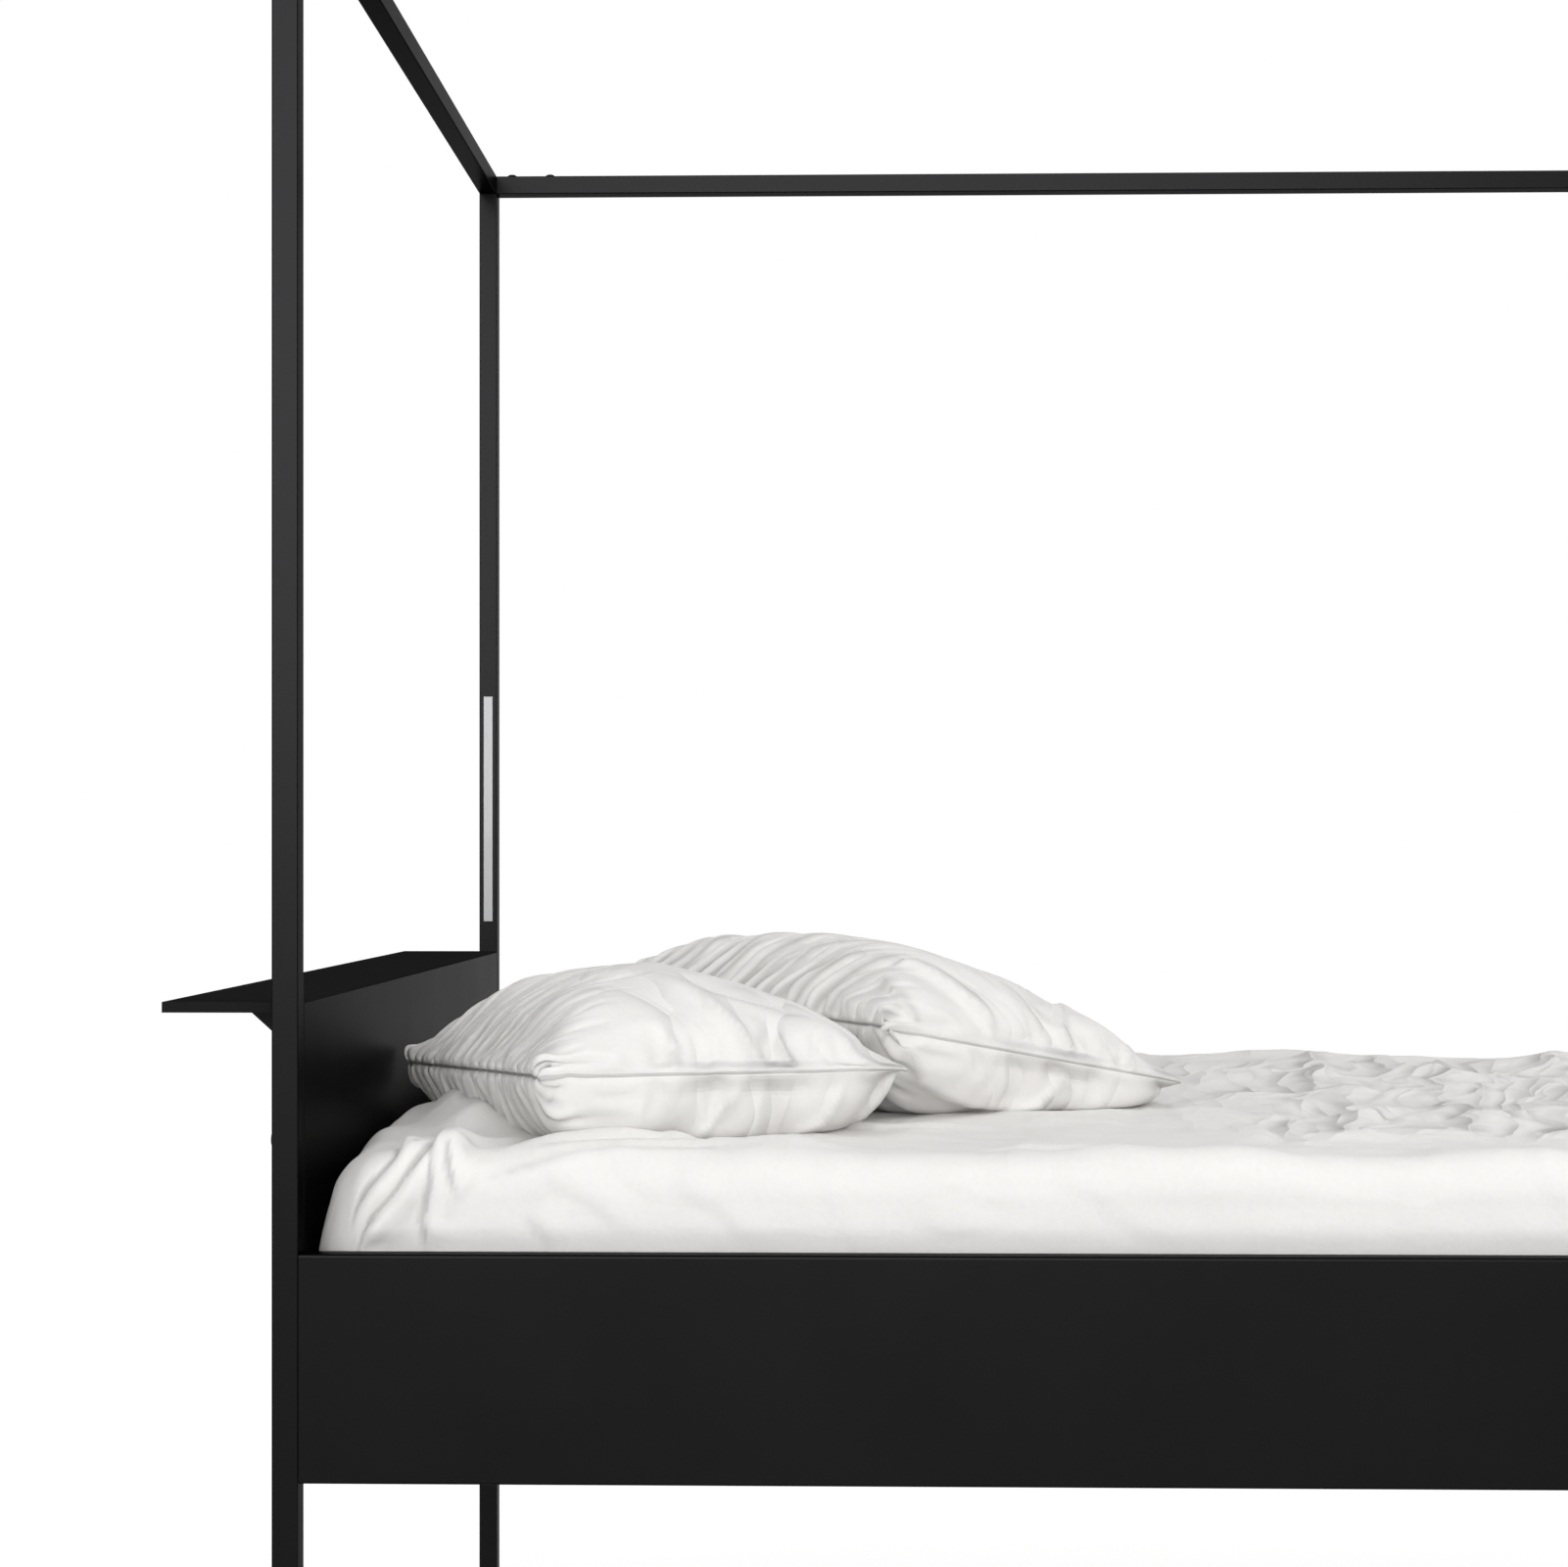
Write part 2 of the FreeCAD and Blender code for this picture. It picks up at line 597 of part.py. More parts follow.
def fitted_sheet():
    hem = MATTRESS_TOP - SHEET_DROP
    cover = soft_block(SOFT_GAP + SHEET_CLOTH, hem, BEDDING_TOP, False)
    return cover.cut(soft_block(SOFT_GAP, hem - 1, MATTRESS_TOP + SOFT_GAP, False))


def pillow(from_head, across, turn, tilt):
    """A filled pillow: its middle is set from the headboard and the bed's centre line."""
    wide, long, high = PILLOW
    body = box((-wide / 2, wide / 2), (-long / 2, long / 2), (-high / 2, high / 2))
    body = body.makeFillet(PILLOW_ROUND, body.Edges)
    body.rotate(V(), Y, tilt)
    body.rotate(V(), Z, turn)
    lift = BEDDING_TOP + SOFT_GAP - body.BoundBox.ZMin
    body.translate(V(IN_HEAD + from_head, across, lift))
    return body


def build():
    os.makedirs("parts", exist_ok=True)
    for end in ENDS:
        for name, side in SIDES.items():
            save(end + "_post_" + name, post(end, side))
            save("glide_pad_" + end + "_" + name, glide_pad(end, side))
            save("glide_stud_" + end + "_" + name, glide_stud(end, side))
        save("canopy_rail_" + end, cross_rail(end))
        save("slat_frame_rail_" + end, base_rail(end))
    save("post_foot_inserts", *[foot_insert(e, s) for e in ENDS for s in SIDES.values()])

    for name, side in SIDES.items():
        save("canopy_rail_" + name, long_rail(side))
        save("slat_support_" + name, slat_support(side))
        save("slat_frame_stile_" + name, stile(side))
        save("light_channel_" + name, light_channel(side))
        save("light_board_" + name, light_board(side))
        save("light_lens_" + name, light_lens(side))
        save("light_inlet_" + name, light_inlet(side))
        save("light_lead_" + name, light_lead(side))
    save("light_end_caps", *light_caps(-1), *light_caps(1))
    save("canopy_spigots", *spigots())
    seats = rail_screw_seats(-1) + rail_screw_seats(1)
    save("canopy_screws", *[button_screw(M8, seat, Z, RAIL_SCREW) for seat in seats])

    length = IN_FOOT - IN_HEAD - 2 * PANEL_GAP
    width = 2 * (POST_Y - PANEL_GAP)
    left = (0, V(IN_HEAD + PANEL_GAP, -SIDE_Y, PANEL_BOTTOM))
    right = (180, V(IN_FOOT - PANEL_GAP, SIDE_Y, PANEL_BOTTOM))
    foot = (90, V(FOOT_X, -POST_Y + PANEL_GAP, PANEL_BOTTOM))
    save("side_panel_left", placed(channel(length), *left))
    save("side_panel_right", placed(channel(length), *right))
    save("foot_panel", placed(channel(width), *foot))
    plates = end_plates(length, SIDE_BOLT_INSET, TUBE / 2)
    save("side_panel_end_plates", *[placed(p, *spot) for spot in (left, right) for p in plates])
    plates = end_plates(width, FOOT_BOLT_INSET, TUBE / 2)
    save("foot_panel_end_plates", *[placed(p, *foot) for p in plates])

    bolts, nuts = [], []
    for _, _, face, outward in panel_joints():
        bolts.append(button_screw(M8, face + outward * (PANEL_GAP + END_PLATE), outward, BOLT_M8))
        nuts.append(rivet_nut(NUT_M8, M8[0], face, outward))
    save("panel_bolts", *bolts)
    save("panel_rivet_nuts", *nuts)

    screws, nuts = [], []
    for _, _, face, outward in board_joints():
        screws.append(button_screw(M6, face + outward * (PANEL_GAP + SHEET), outward, BOLT_M6))
        nuts.append(rivet_nut(NUT_M6, M6[0], face, outward))
    save("headboard_panel", headboard())
    save("headboard_screws", *screws)
    save("headboard_rivet_nuts", *nuts)
    save("shelf", shelf())
    save("shelf_brackets", *shelf_brackets())
    save("shelf_studs", *[rod(M6[0], place, -Z, 12.0) for place in stud_places()])
    save("shelf_nuts", *[shelf_nut(place) for place in stud_places()])

    save("cross_bar", cross_bar())
    grip = TUBE + SUPPORT_WALL - PANEL_GAP
    seats = [cross_bar_seat(side) for side in SIDES.values()]
    save("cross_bar_bolts", *[button_screw(M6, seat, -Z, grip) for seat in seats])
    save("slats", *[slat(x) for x in slat_centres()])
    save("slat_caps", *[slat_cap(x, side) for x in slat_centres() for side in SIDES.values()])

    save("mattress", soft_block(0, MATTRESS_LOW, MATTRESS_TOP, True))
    save("fitted_sheet", fitted_sheet())
    save("pillow_left", pillow(288.0, -240.0, 24.0, 0.0))
    save("pillow_right", pillow(632.0, 22.0, 32.0, 9.0))


build()
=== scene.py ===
# %% [markdown]
# # A four-poster canopy bed, finished and dressed
# The construction of the bed is already modelled: square tube, folded sheet, slats, screws
# and plain blocks for the soft goods. Here it gets its looks. The steel is given a satin
# black lacquer, and the mattress, the fitted sheet and the two pillows are made again as
# sewn cloth, because a block with rounded edges never reads as bedding.

# %% Load the construction
import math
import random
import numpy as np
import bpy
import bmesh
from mathutils import Matrix, Vector, noise


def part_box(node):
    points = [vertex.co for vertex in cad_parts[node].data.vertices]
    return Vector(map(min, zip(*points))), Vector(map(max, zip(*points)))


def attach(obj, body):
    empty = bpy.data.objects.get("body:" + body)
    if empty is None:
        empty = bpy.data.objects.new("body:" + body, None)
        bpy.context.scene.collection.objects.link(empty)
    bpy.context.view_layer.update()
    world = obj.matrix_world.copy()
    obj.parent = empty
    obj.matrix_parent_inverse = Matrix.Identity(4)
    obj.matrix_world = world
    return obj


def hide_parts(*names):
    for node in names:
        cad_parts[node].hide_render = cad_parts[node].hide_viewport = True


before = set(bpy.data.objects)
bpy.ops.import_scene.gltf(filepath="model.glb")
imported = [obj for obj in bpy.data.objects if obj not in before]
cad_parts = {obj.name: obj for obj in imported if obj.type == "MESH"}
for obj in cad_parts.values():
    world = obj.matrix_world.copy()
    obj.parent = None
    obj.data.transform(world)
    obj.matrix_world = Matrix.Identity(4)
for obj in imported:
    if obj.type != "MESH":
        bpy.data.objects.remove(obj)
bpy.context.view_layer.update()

# %% [markdown]
# ## Where things are
# These sizes are read from the construction. Left is the side towards -Y, and the head is at
# the low end of X.

# %% Places read from the construction
post_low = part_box("head_post_left")[0]
mattress_low, mattress_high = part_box("mattress")
HEAD_X = post_low.x
BED_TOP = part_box("fitted_sheet")[1].z
print("head of the frame at", round(HEAD_X, 4), "and the bed's surface at", round(BED_TOP, 4))

# %% [markdown]
# ## The camera
# The view is from beside the bed, at about standing height, with the camera level so that
# the posts stay upright. A level camera keeps vertical lines parallel, and the lens shift
# then slides the picture up or down without tilting it, as on a view camera.

# %% Make the camera
camera_data = bpy.data.cameras.new("camera")
camera_data.sensor_width = 36.0
camera_data.lens = 59.25
camera_data.shift_x = -0.0325
camera_data.shift_y = 0.0418
camera = bpy.data.objects.new("camera", camera_data)
camera.location = (HEAD_X + 0.5817, post_low.y - 2.4114, 1.049)
camera.rotation_euler = (math.radians(90), 0, math.radians(1.241))
bpy.context.scene.collection.objects.link(camera)
bpy.context.scene.camera = camera
print("camera stands at", [round(v, 3) for v in camera.location])

# %% [markdown]
# ## Building materials from nodes
# Each finish is a small tree of shader nodes. Two helpers keep the trees short to read: one
# places a node and sets its sockets, the other joins sockets. What several finishes share,
# such as the grain of a lacquer or the weave of cotton, becomes a node group, built once.

# %% Helpers for node trees
def place(tree, kind, values=None, **settings):
    """Adds a node, sets its properties and then its input sockets, by name or number."""
    node = tree.nodes.new("ShaderNode" + kind)
    for name, value in settings.items():
        setattr(node, name, value)
    for name, value in (values or {}).items():
        node.inputs[name].default_value = value
    return node


def join(tree, *links):
    """Each link is a node, the name or number of its output, the next node and its input."""
    for source, output, target, entry in links:
        tree.links.new(source.outputs[output], target.inputs[entry])


def maths(tree, operation, values=None):
    return place(tree, "Math", values, operation=operation)


def new_group(name, inputs, outputs):
    """A node group with float or colour sockets, and its two end nodes."""
    tree = bpy.data.node_groups.new(name, "ShaderNodeTree")
    for label, kind, value in inputs:
        socket = tree.interface.new_socket(label, in_out="INPUT", socket_type=kind)
        socket.default_value = value
    for label, kind in outputs:
        tree.interface.new_socket(label, in_out="OUTPUT", socket_type=kind)
    return tree, tree.nodes.new("NodeGroupInput"), tree.nodes.new("NodeGroupOutput")


def new_material(name, values):
    """A material with one Principled shader, whose plain sockets are set directly."""
    material = bpy.data.materials.new(name)
    material.use_nodes = True
    tree = material.node_tree
    shader = tree.nodes["Principled BSDF"]
    for label, value in values.items():
        shader.inputs[label].default_value = value
    return material, tree, shader


FLOAT, COLOUR = "NodeSocketFloat", "NodeSocketColor"

# %% [markdown]
# ## Uneven finish
# No factory finish is perfectly even. Lacquer lies in a faint orange peel, plastic has a
# spark-eroded grain, zinc has cloudy patches. One group makes all of them: a broad noise
# shifts the colour and the gloss a little, and a fine noise gives the height for the bump.

# %% The uneven-finish group
def uneven_finish_group():
    inputs = [("Colour", COLOUR, (0.5, 0.5, 0.5, 1)), ("Colour Shift", FLOAT, 0.1),
              ("Gloss", FLOAT, 0.4), ("Gloss Shift", FLOAT, 0.05),
              ("Patch Scale", FLOAT, 6.0), ("Grain Scale", FLOAT, 900.0)]
    outputs = [("Colour", COLOUR), ("Roughness", FLOAT), ("Height", FLOAT)]
    tree, start, end = new_group("uneven_finish", inputs, outputs)
    where = place(tree, "TexCoord")
    patches = place(tree, "TexNoise", {"Detail": 5.0, "Roughness": 0.6})
    grain = place(tree, "TexNoise", {"Detail": 2.0, "Roughness": 0.5})
    centred = maths(tree, "SUBTRACT", {1: 0.5})
    shade = maths(tree, "MULTIPLY_ADD", {2: 1.0})
    paint = place(tree, "VectorMath", operation="SCALE")
    gloss = maths(tree, "MULTIPLY_ADD")
    join(tree, (where, "Object", patches, "Vector"), (where, "Object", grain, "Vector"),
         (start, "Patch Scale", patches, "Scale"), (start, "Grain Scale", grain, "Scale"),
         (patches, "Fac", centred, 0), (centred, 0, shade, 0), (start, "Colour Shift", shade, 1),
         (start, "Colour", paint, 0), (shade, 0, paint, "Scale"), (centred, 0, gloss, 0),
         (start, "Gloss Shift", gloss, 1), (start, "Gloss", gloss, 2), (paint, 0, end, "Colour"),
         (gloss, 0, end, "Roughness"), (grain, "Fac", end, "Height"))
    return tree


UNEVEN = uneven_finish_group()


def finish_material(name, colour, gloss, bump, plain, shifts=(0.25, 0.08), scales=(5.0, 700.0)):
    """A hard finish: colour and gloss from the group, and a bump as deep as its grain."""
    material, tree, shader = new_material(name, plain)
    shared = place(tree, "Group", node_tree=UNEVEN)
    values = {"Colour": (*colour, 1), "Colour Shift": shifts[0], "Gloss": gloss,
              "Gloss Shift": shifts[1], "Patch Scale": scales[0], "Grain Scale": scales[1]}
    for label, value in values.items():
        shared.inputs[label].default_value = value
    dents = place(tree, "Bump", {"Strength": 0.5, "Distance": bump})
    join(tree, (shared, "Colour", shader, "Base Color"), (shared, "Roughness", shader, "Roughness"),
         (shared, "Height", dents, "Height"), (dents, "Normal", shader, "Normal"))
    return material


# %% [markdown]
# ## The hard finishes
# The steel is stove-lacquered in satin black. It is so dark that its shape is drawn by
# reflections alone, so its gloss matters more than its colour. A plain black paint flares
# to white where it is seen edge-on. This lacquer doesn't, so it is made as a dark metal,
# because a metal's Specular Tint sets how much it reflects at a low angle. The opal lenses
# scatter light, the sockets and glides are grained plastic, and hidden parts keep their zinc.

# %% Make the hard finishes
def metal(tint=1.0):
    return {"Metallic": 1.0, "Specular Tint": (tint, tint, tint, 1)}


black_lacquer = finish_material("black_lacquer", (0.0095, 0.0095, 0.0099), 0.36, 0.00006, metal(0.42))
# painted shade: the shelf gets a rougher copy of the black lacquer that reflects nothing, so that its top
# stays dark
shaded_shelf_lacquer = finish_material("shaded_shelf_lacquer", (0.0135, 0.0135, 0.0138), 0.62, 0.00006,
                                {"Specular IOR Level": 0.0})
black_oxide = finish_material("black_oxide", (0.02, 0.02, 0.021), 0.3, 0.00004, metal(0.2))
bright_zinc = finish_material("bright_zinc", (0.55, 0.56, 0.58), 0.32, 0.00005, metal(),
                              (0.2, 0.15), (90.0, 1200.0))
raw_aluminium = finish_material("raw_aluminium", (0.72, 0.72, 0.73), 0.38, 0.00005, metal(),
                                (0.08, 0.1), (30.0, 900.0))
opal_plastic = finish_material("opal_plastic", (0.405, 0.405, 0.415), 0.35, 0.00002,
                               {"Coat Weight": 0.15}, (0.03, 0.05), (20.0, 1500.0))
board_white = finish_material("board_white", (0.78, 0.78, 0.75), 0.45, 0.00002, {})
moulded_plastic = finish_material("moulded_plastic", (0.012, 0.012, 0.012), 0.5, 0.0001, {},
                                  (0.1, 0.06), (40.0, 1500.0))
print("made", len(bpy.data.materials), "hard finishes")

# %% [markdown]
# ## Birch
# The slats and the frame under the mattress are birch. Wood grain is growth rings cut
# lengthwise: bands of slightly wavy lines, stretched along the board, with fine dark pores
# over them. Stretching the coordinates before the noise gives both.

# %% Make the birch
def birch_material(name, stretch):
    """Birch whose grain runs along the axis that the stretch leaves long."""
    material, tree, shader = new_material(name, {"Specular IOR Level": 0.35, "Roughness": 0.5})
    where = place(tree, "TexCoord")
    fit = place(tree, "Mapping", {"Scale": stretch})
    rings = place(tree, "TexNoise", {"Scale": 9.0, "Detail": 4.0, "Distortion": 0.6})
    pores = place(tree, "TexNoise", {"Scale": 160.0, "Detail": 2.0})
    colours = place(tree, "ValToRGB")
    dark, pale = colours.color_ramp.elements
    dark.position, dark.color = 0.38, (0.43, 0.27, 0.14, 1)
    pale.position, pale.color = 0.62, (0.66, 0.47, 0.29, 1)
    darker = place(tree, "Mix", {"Factor": 0.35}, data_type="RGBA", blend_type="MULTIPLY")
    dents = place(tree, "Bump", {"Strength": 0.3, "Distance": 0.0003})
    join(tree, (where, "Object", fit, "Vector"), (fit, "Vector", rings, "Vector"),
         (fit, "Vector", pores, "Vector"), (rings, "Fac", colours, "Fac"), (colours, "Color", darker, "A"),
         (pores, "Color", darker, "B"), (darker, "Result", shader, "Base Color"),
         (pores, "Fac", dents, "Height"), (dents, "Normal", shader, "Normal"))
    return material


birch_across = birch_material("birch_across", (1.0, 0.06, 1.0))
birch_along = birch_material("birch_along", (0.06, 1.0, 1.0))
print("birch runs across the bed in the slats, and along it in the side pieces of their frame")

# %% [markdown]
# ## Painting the construction
# Every carried-over part keeps its shape and gets one of these finishes. Only the material
# slot changes, so nothing moves.

# %% Give each part its finish
FINISHES = [
    (black_oxide, ("canopy_screws",)),
    (bright_zinc, ("panel_bolts", "headboard_screws", "cross_bar_bolts", "panel_rivet_nuts",
                   "headboard_rivet_nuts", "shelf_studs", "shelf_nuts", "glide_stud")),
    (moulded_plastic, ("glide_pad", "post_foot_inserts", "slat_caps", "light_end_caps",
                       "light_inlet", "light_lead")),
    (raw_aluminium, ("light_channel",)), (opal_plastic, ("light_lens",)), (board_white, ("light_board",)),
    (birch_across, ("slats", "slat_frame_rail")), (birch_along, ("slat_frame_stile",)),
]


def finish_for(node):
    for material, starts in FINISHES:
        if node.startswith(starts):
            return material
    return black_lacquer


for node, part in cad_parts.items():
    part.data.materials.clear()
    part.data.materials.append(shaded_shelf_lacquer if node == "shelf" else finish_for(node))
print("painted", len(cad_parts), "parts")

# %% [markdown]
# ## Cotton
# All the bedding is one cloth: a fine plain-weave cotton. Threads pass over and under each
# other, so the weave is two sets of waves at right angles. A fine noise stands for the slubs
# in the yarn, and a broader one for the faint creases of a washed sheet. All follow the
# attribute "flat", the place of each point on the cloth before it was sewn.

# %% The weave
def weave_nodes(tree, start, where):
    """Waves along the cloth times waves across it, with the slubs of the yarn on top."""
    apart = place(tree, "SeparateXYZ")
    weave = maths(tree, "MULTIPLY")
    join(tree, (where, 0, apart, 0))
    for number, axis in enumerate(("X", "Y")):
        count, wave = maths(tree, "MULTIPLY"), maths(tree, "SINE")
        join(tree, (apart, axis, count, 0), (start, "Threads", count, 1), (count, 0, wave, 0),
             (wave, 0, weave, number))
    slubs = place(tree, "TexNoise", {"Scale": 160.0, "Detail": 3.0})
    faint = maths(tree, "MULTIPLY", {1: 0.012})
    fine = maths(tree, "MULTIPLY_ADD", {1: 0.03})
    join(tree, (where, 0, slubs, "Vector"), (weave, 0, faint, 0), (slubs, "Fac", fine, 0),
         (faint, 0, fine, 2))
    return fine, slubs


# %% [markdown]
# Cotton that has been lain on breaks into facets: cells drawn out along one way, each a
# shallow bowl, which meet in sharp ridges. A Voronoi texture gives such cells, because the
# distance to the nearest centre, squared, is a bowl. A little noise bends the ridges. The
# attribute "crumpled" says where they are.

# %% The facets of crumpled cloth
def facet_nodes(tree, start, where):
    """Two sizes of bowls, added up, as strong as "Facets" and the attribute say."""
    bend = place(tree, "TexNoise", {"Scale": 5.0, "Detail": 2.0})
    bent = place(tree, "MixRGB", {"Fac": 0.16}, blend_type="ADD")
    drawn_out = place(tree, "Mapping", {"Rotation": (0.0, 0.0, -0.21), "Scale": (0.37, 1.0, 1.0)},
                      vector_type="TEXTURE")
    join(tree, (where, 0, bend, "Vector"), (where, 0, bent, 1), (bend, "Color", bent, 2),
         (bent, 0, drawn_out, "Vector"))
    total = None
    for scale, share in ((3.8, 9.0), (10.0, 2.4)):
        cells = place(tree, "TexVoronoi", {"Scale": scale})
        bowl = maths(tree, "POWER", {1: 2.0})
        part = maths(tree, "MULTIPLY_ADD", {1: share, 2: 0.0})
        join(tree, (drawn_out, 0, cells, "Vector"), (cells, "Distance", bowl, 0), (bowl, 0, part, 0))
        if total:
            join(tree, (total, 0, part, 2))
        total = part
    crumpled = place(tree, "Attribute", attribute_name="crumpled")
    strong, facets = maths(tree, "MULTIPLY"), maths(tree, "MULTIPLY")
    join(tree, (crumpled, "Fac", strong, 0), (start, "Facets", strong, 1), (strong, 0, facets, 0),
         (total, 0, facets, 1))
    return facets


# %% [markdown]
# The attribute "fold" tells how deep a point lies in a crease, beside a pleat or in the gathered
# seam, and "seam" where two layers are sewn together. Both darken the colour as painted shade,
# because a pressed crease hides more cloth than the mesh has, and little light comes back out of it.

# %% The cotton group and material
def cotton_group():
    inputs = [("Colour", COLOUR, (0.8, 0.8, 0.8, 1)), ("Threads", FLOAT, 7000.0),
              ("Creases", FLOAT, 0.5), ("Facets", FLOAT, 1.0)]
    tree, start, end = new_group("cotton_weave", inputs, [("Colour", COLOUR), ("Height", FLOAT)])
    flat, seam, crease_shade = (place(tree, "Attribute", attribute_name=word)
                              for word in ("flat", "seam", "fold"))
    where = place(tree, "VectorMath", {1: (1, 1, 0)}, operation="MULTIPLY")
    join(tree, (flat, "Vector", where, 0))
    fine, slubs = weave_nodes(tree, start, where)
    facets = facet_nodes(tree, start, where)
    washed = place(tree, "TexNoise", {"Scale": 13.0, "Detail": 5.0, "Roughness": 0.6,
                                      "Distortion": 0.8})
    creased = maths(tree, "MULTIPLY_ADD")
    all_height = maths(tree, "ADD")
    line = place(tree, "MapRange", {"From Min": 0.74, "From Max": 0.88})
    sunk = maths(tree, "MULTIPLY_ADD", {1: -0.15})
    join(tree, (where, 0, washed, "Vector"), (washed, "Fac", creased, 0), (start, "Creases", creased, 1),
         (fine, 0, creased, 2), (creased, 0, all_height, 0), (facets, 0, all_height, 1),
         (seam, "Fac", line, "Value"), (line, 0, sunk, 0), (all_height, 0, sunk, 2),
         (sunk, 0, end, "Height"))
    shade = place(tree, "MapRange", {"To Min": 0.97, "To Max": 1.03})
    # painted shade: the colour is darkened where the fold attribute is high, and along the seam's line
    painted_shade = maths(tree, "MULTIPLY_ADD", {1: 0.45})
    shaded = maths(tree, "MULTIPLY_ADD", {1: -0.6})
    paint = place(tree, "VectorMath", operation="SCALE")
    join(tree, (slubs, "Fac", shade, "Value"), (line, 0, painted_shade, 0), (crease_shade, "Fac", painted_shade, 2),
         (painted_shade, 0, shaded, 0), (shade, 0, shaded, 2), (start, "Colour", paint, 0),
         (shaded, 0, paint, "Scale"), (paint, 0, end, "Colour"))
    return tree


COTTON = cotton_group()


def cotton_material(name, colour, creases, facets=1.0):
    material, tree, shader = new_material(name, {"Roughness": 0.85, "Specular IOR Level": 0.2,
                                                 "Sheen Weight": 0.05, "Sheen Roughness": 0.5})
    shared = place(tree, "Group", node_tree=COTTON)
    for label, value in {"Colour": (*colour, 1), "Creases": creases, "Facets": facets}.items():
        shared.inputs[label].default_value = value
    dents = place(tree, "Bump", {"Strength": 1.0, "Distance": 0.006})
    join(tree, (shared, "Colour", shader, "Base Color"), (shared, "Height", dents, "Height"),
         (dents, "Normal", shader, "Normal"))
    return material


sheet_cotton = cotton_material("sheet_cotton", (0.79, 0.777, 0.76), 0.3)
pillow_cotton = cotton_material("pillow_cotton", (0.80, 0.787, 0.77), 0.3, 0.6)
print("the cotton group has", len(COTTON.nodes), "nodes")

# %% [markdown]
# ## Tools for the bedding
# A few helpers turn a bmesh into a piece, apply its modifiers and read its points as arrays.
# "ramp" is a soft step, and "ripple" a smooth noise. Most shapes below are built from the two.

# %% Helpers for making pieces
def new_piece(name, form):
    """Turns a bmesh into an object in the scene, and frees the bmesh."""
    mesh = bpy.data.meshes.new(name)
    form.to_mesh(mesh)
    form.free()
    piece = bpy.data.objects.new(name, mesh)
    bpy.context.scene.collection.objects.link(piece)
    return piece


def settle(piece):
    """Replaces the mesh by what the modifiers make of it, and removes them."""
    graph = bpy.context.evaluated_depsgraph_get()
    mesh = bpy.data.meshes.new_from_object(piece.evaluated_get(graph))
    piece.modifiers.clear()
    piece.data = mesh


def smooth(piece):
    for face in piece.data.polygons:
        face.use_smooth = True


def numbers(mesh, what):
    """A vertex quantity of a mesh as an array of three columns."""
    values = np.zeros(len(mesh.vertices) * 3)
    if what == "flat":
        mesh.attributes["flat"].data.foreach_get("vector", values)
    else:
        mesh.vertices.foreach_get(what, values)
    return values.reshape(-1, 3)


def put_back(piece, places):
    piece.data.vertices.foreach_set("co", places.ravel())
    piece.data.update()


def ramp(value, start, end):
    """0 up to start, 1 from end on, and a smooth change between them."""
    share = np.clip((value - start) / (end - start), 0.0, 1.0)
    return share * share * (3 - 2 * share)


def ripple(x, y, seed):
    """Smooth noise from -1 to 1 at each pair of x and y."""
    pairs = np.broadcast_arrays(np.asarray(x, float), np.asarray(y, float))
    flat = [noise.noise(Vector((a, b, seed))) for a, b in zip(pairs[0].ravel(), pairs[1].ravel())]
    return np.array(flat).reshape(pairs[0].shape)


# %% [markdown]
# ## Folds and creases
# A fold in cloth is a rounded ridge with a sharp valley along one side of it. A path on the
# flat cloth, a width and a height are enough to describe one. Pillows and sheet share this
# function, and the sheet gets some two hundred of them, big and small. The front is how
# steeply the ridge rises, in shares of the width: where the net is coarse it must be gentle.

# %% The height of a fold
def fold(x, y, path, width, height, front=0.3):
    """Height of one fold at the points x, y. It lies to the left of its path."""
    points = [Vector(p) for p in path]
    lengths = [(b - a).length for a, b in zip(points, points[1:])]
    total, done = sum(lengths), 0.0
    nearest = np.full(x.shape, 1e9)
    across, share = np.zeros(x.shape), np.zeros(x.shape)
    for a, b, length in zip(points, points[1:], lengths):
        way = (b - a) / length
        along = (x - a.x) * way.x + (y - a.y) * way.y
        held = np.clip(along, 0.0, length)
        off_x, off_y = x - a.x - held * way.x, y - a.y - held * way.y
        gap = np.hypot(off_x, off_y)
        side = np.where((x - a.x) * -way.y + (y - a.y) * way.x >= 0, 1.0, -1.0)
        closer = gap < nearest
        nearest = np.where(closer, gap, nearest)
        across = np.where(closer, gap * side, across)
        share = np.where(closer, (done + held) / total, share)
        done += length
    taper = ramp(share, 0.0, 0.2) * (1 - ramp(share, 0.65, 1.0))
    above = np.maximum(across, 0.0)
    ridge = (1 - np.exp(-above / (front * width))) * np.exp(-(above / (1.9 * width)) ** 2) * 1.35
    groove = 0.3 * np.exp(-((across + 0.1 * width) / (0.4 * width)) ** 2)
    beyond = np.where((share <= 0) | (share >= 1), 0.0, 1.0)
    return height * taper * beyond * (ridge - groove)


# %% [markdown]
# ## The pillows
# A pillowcase is two rectangles of cotton sewn together round the edge, over a filling that
# is a little too big for it. One long seam is gathered, so the cloth on that side stands in
# pleats that run up over the crown. A cloth simulation does this well: two flat
# layers are joined at the rim, the gathered seam is told to shrink, and pressure fills the
# case up to a chosen volume. A light smoothing then irons out the mesh's own wrinkles.

# %% Sew the case, and make it ready to fill
PILLOW_CUT = (0.40, 0.60)        # the flat case: across, and along the gathered seam
PILLOW_STEP = 0.0067             # the spacing of its points
PILLOW_VOLUME = 0.0175           # how far it is filled, in cubic metres
PLEAT = 0.031                    # from one pleat to the next
LAYER_GAP = 0.004                # between the two layers before they are joined


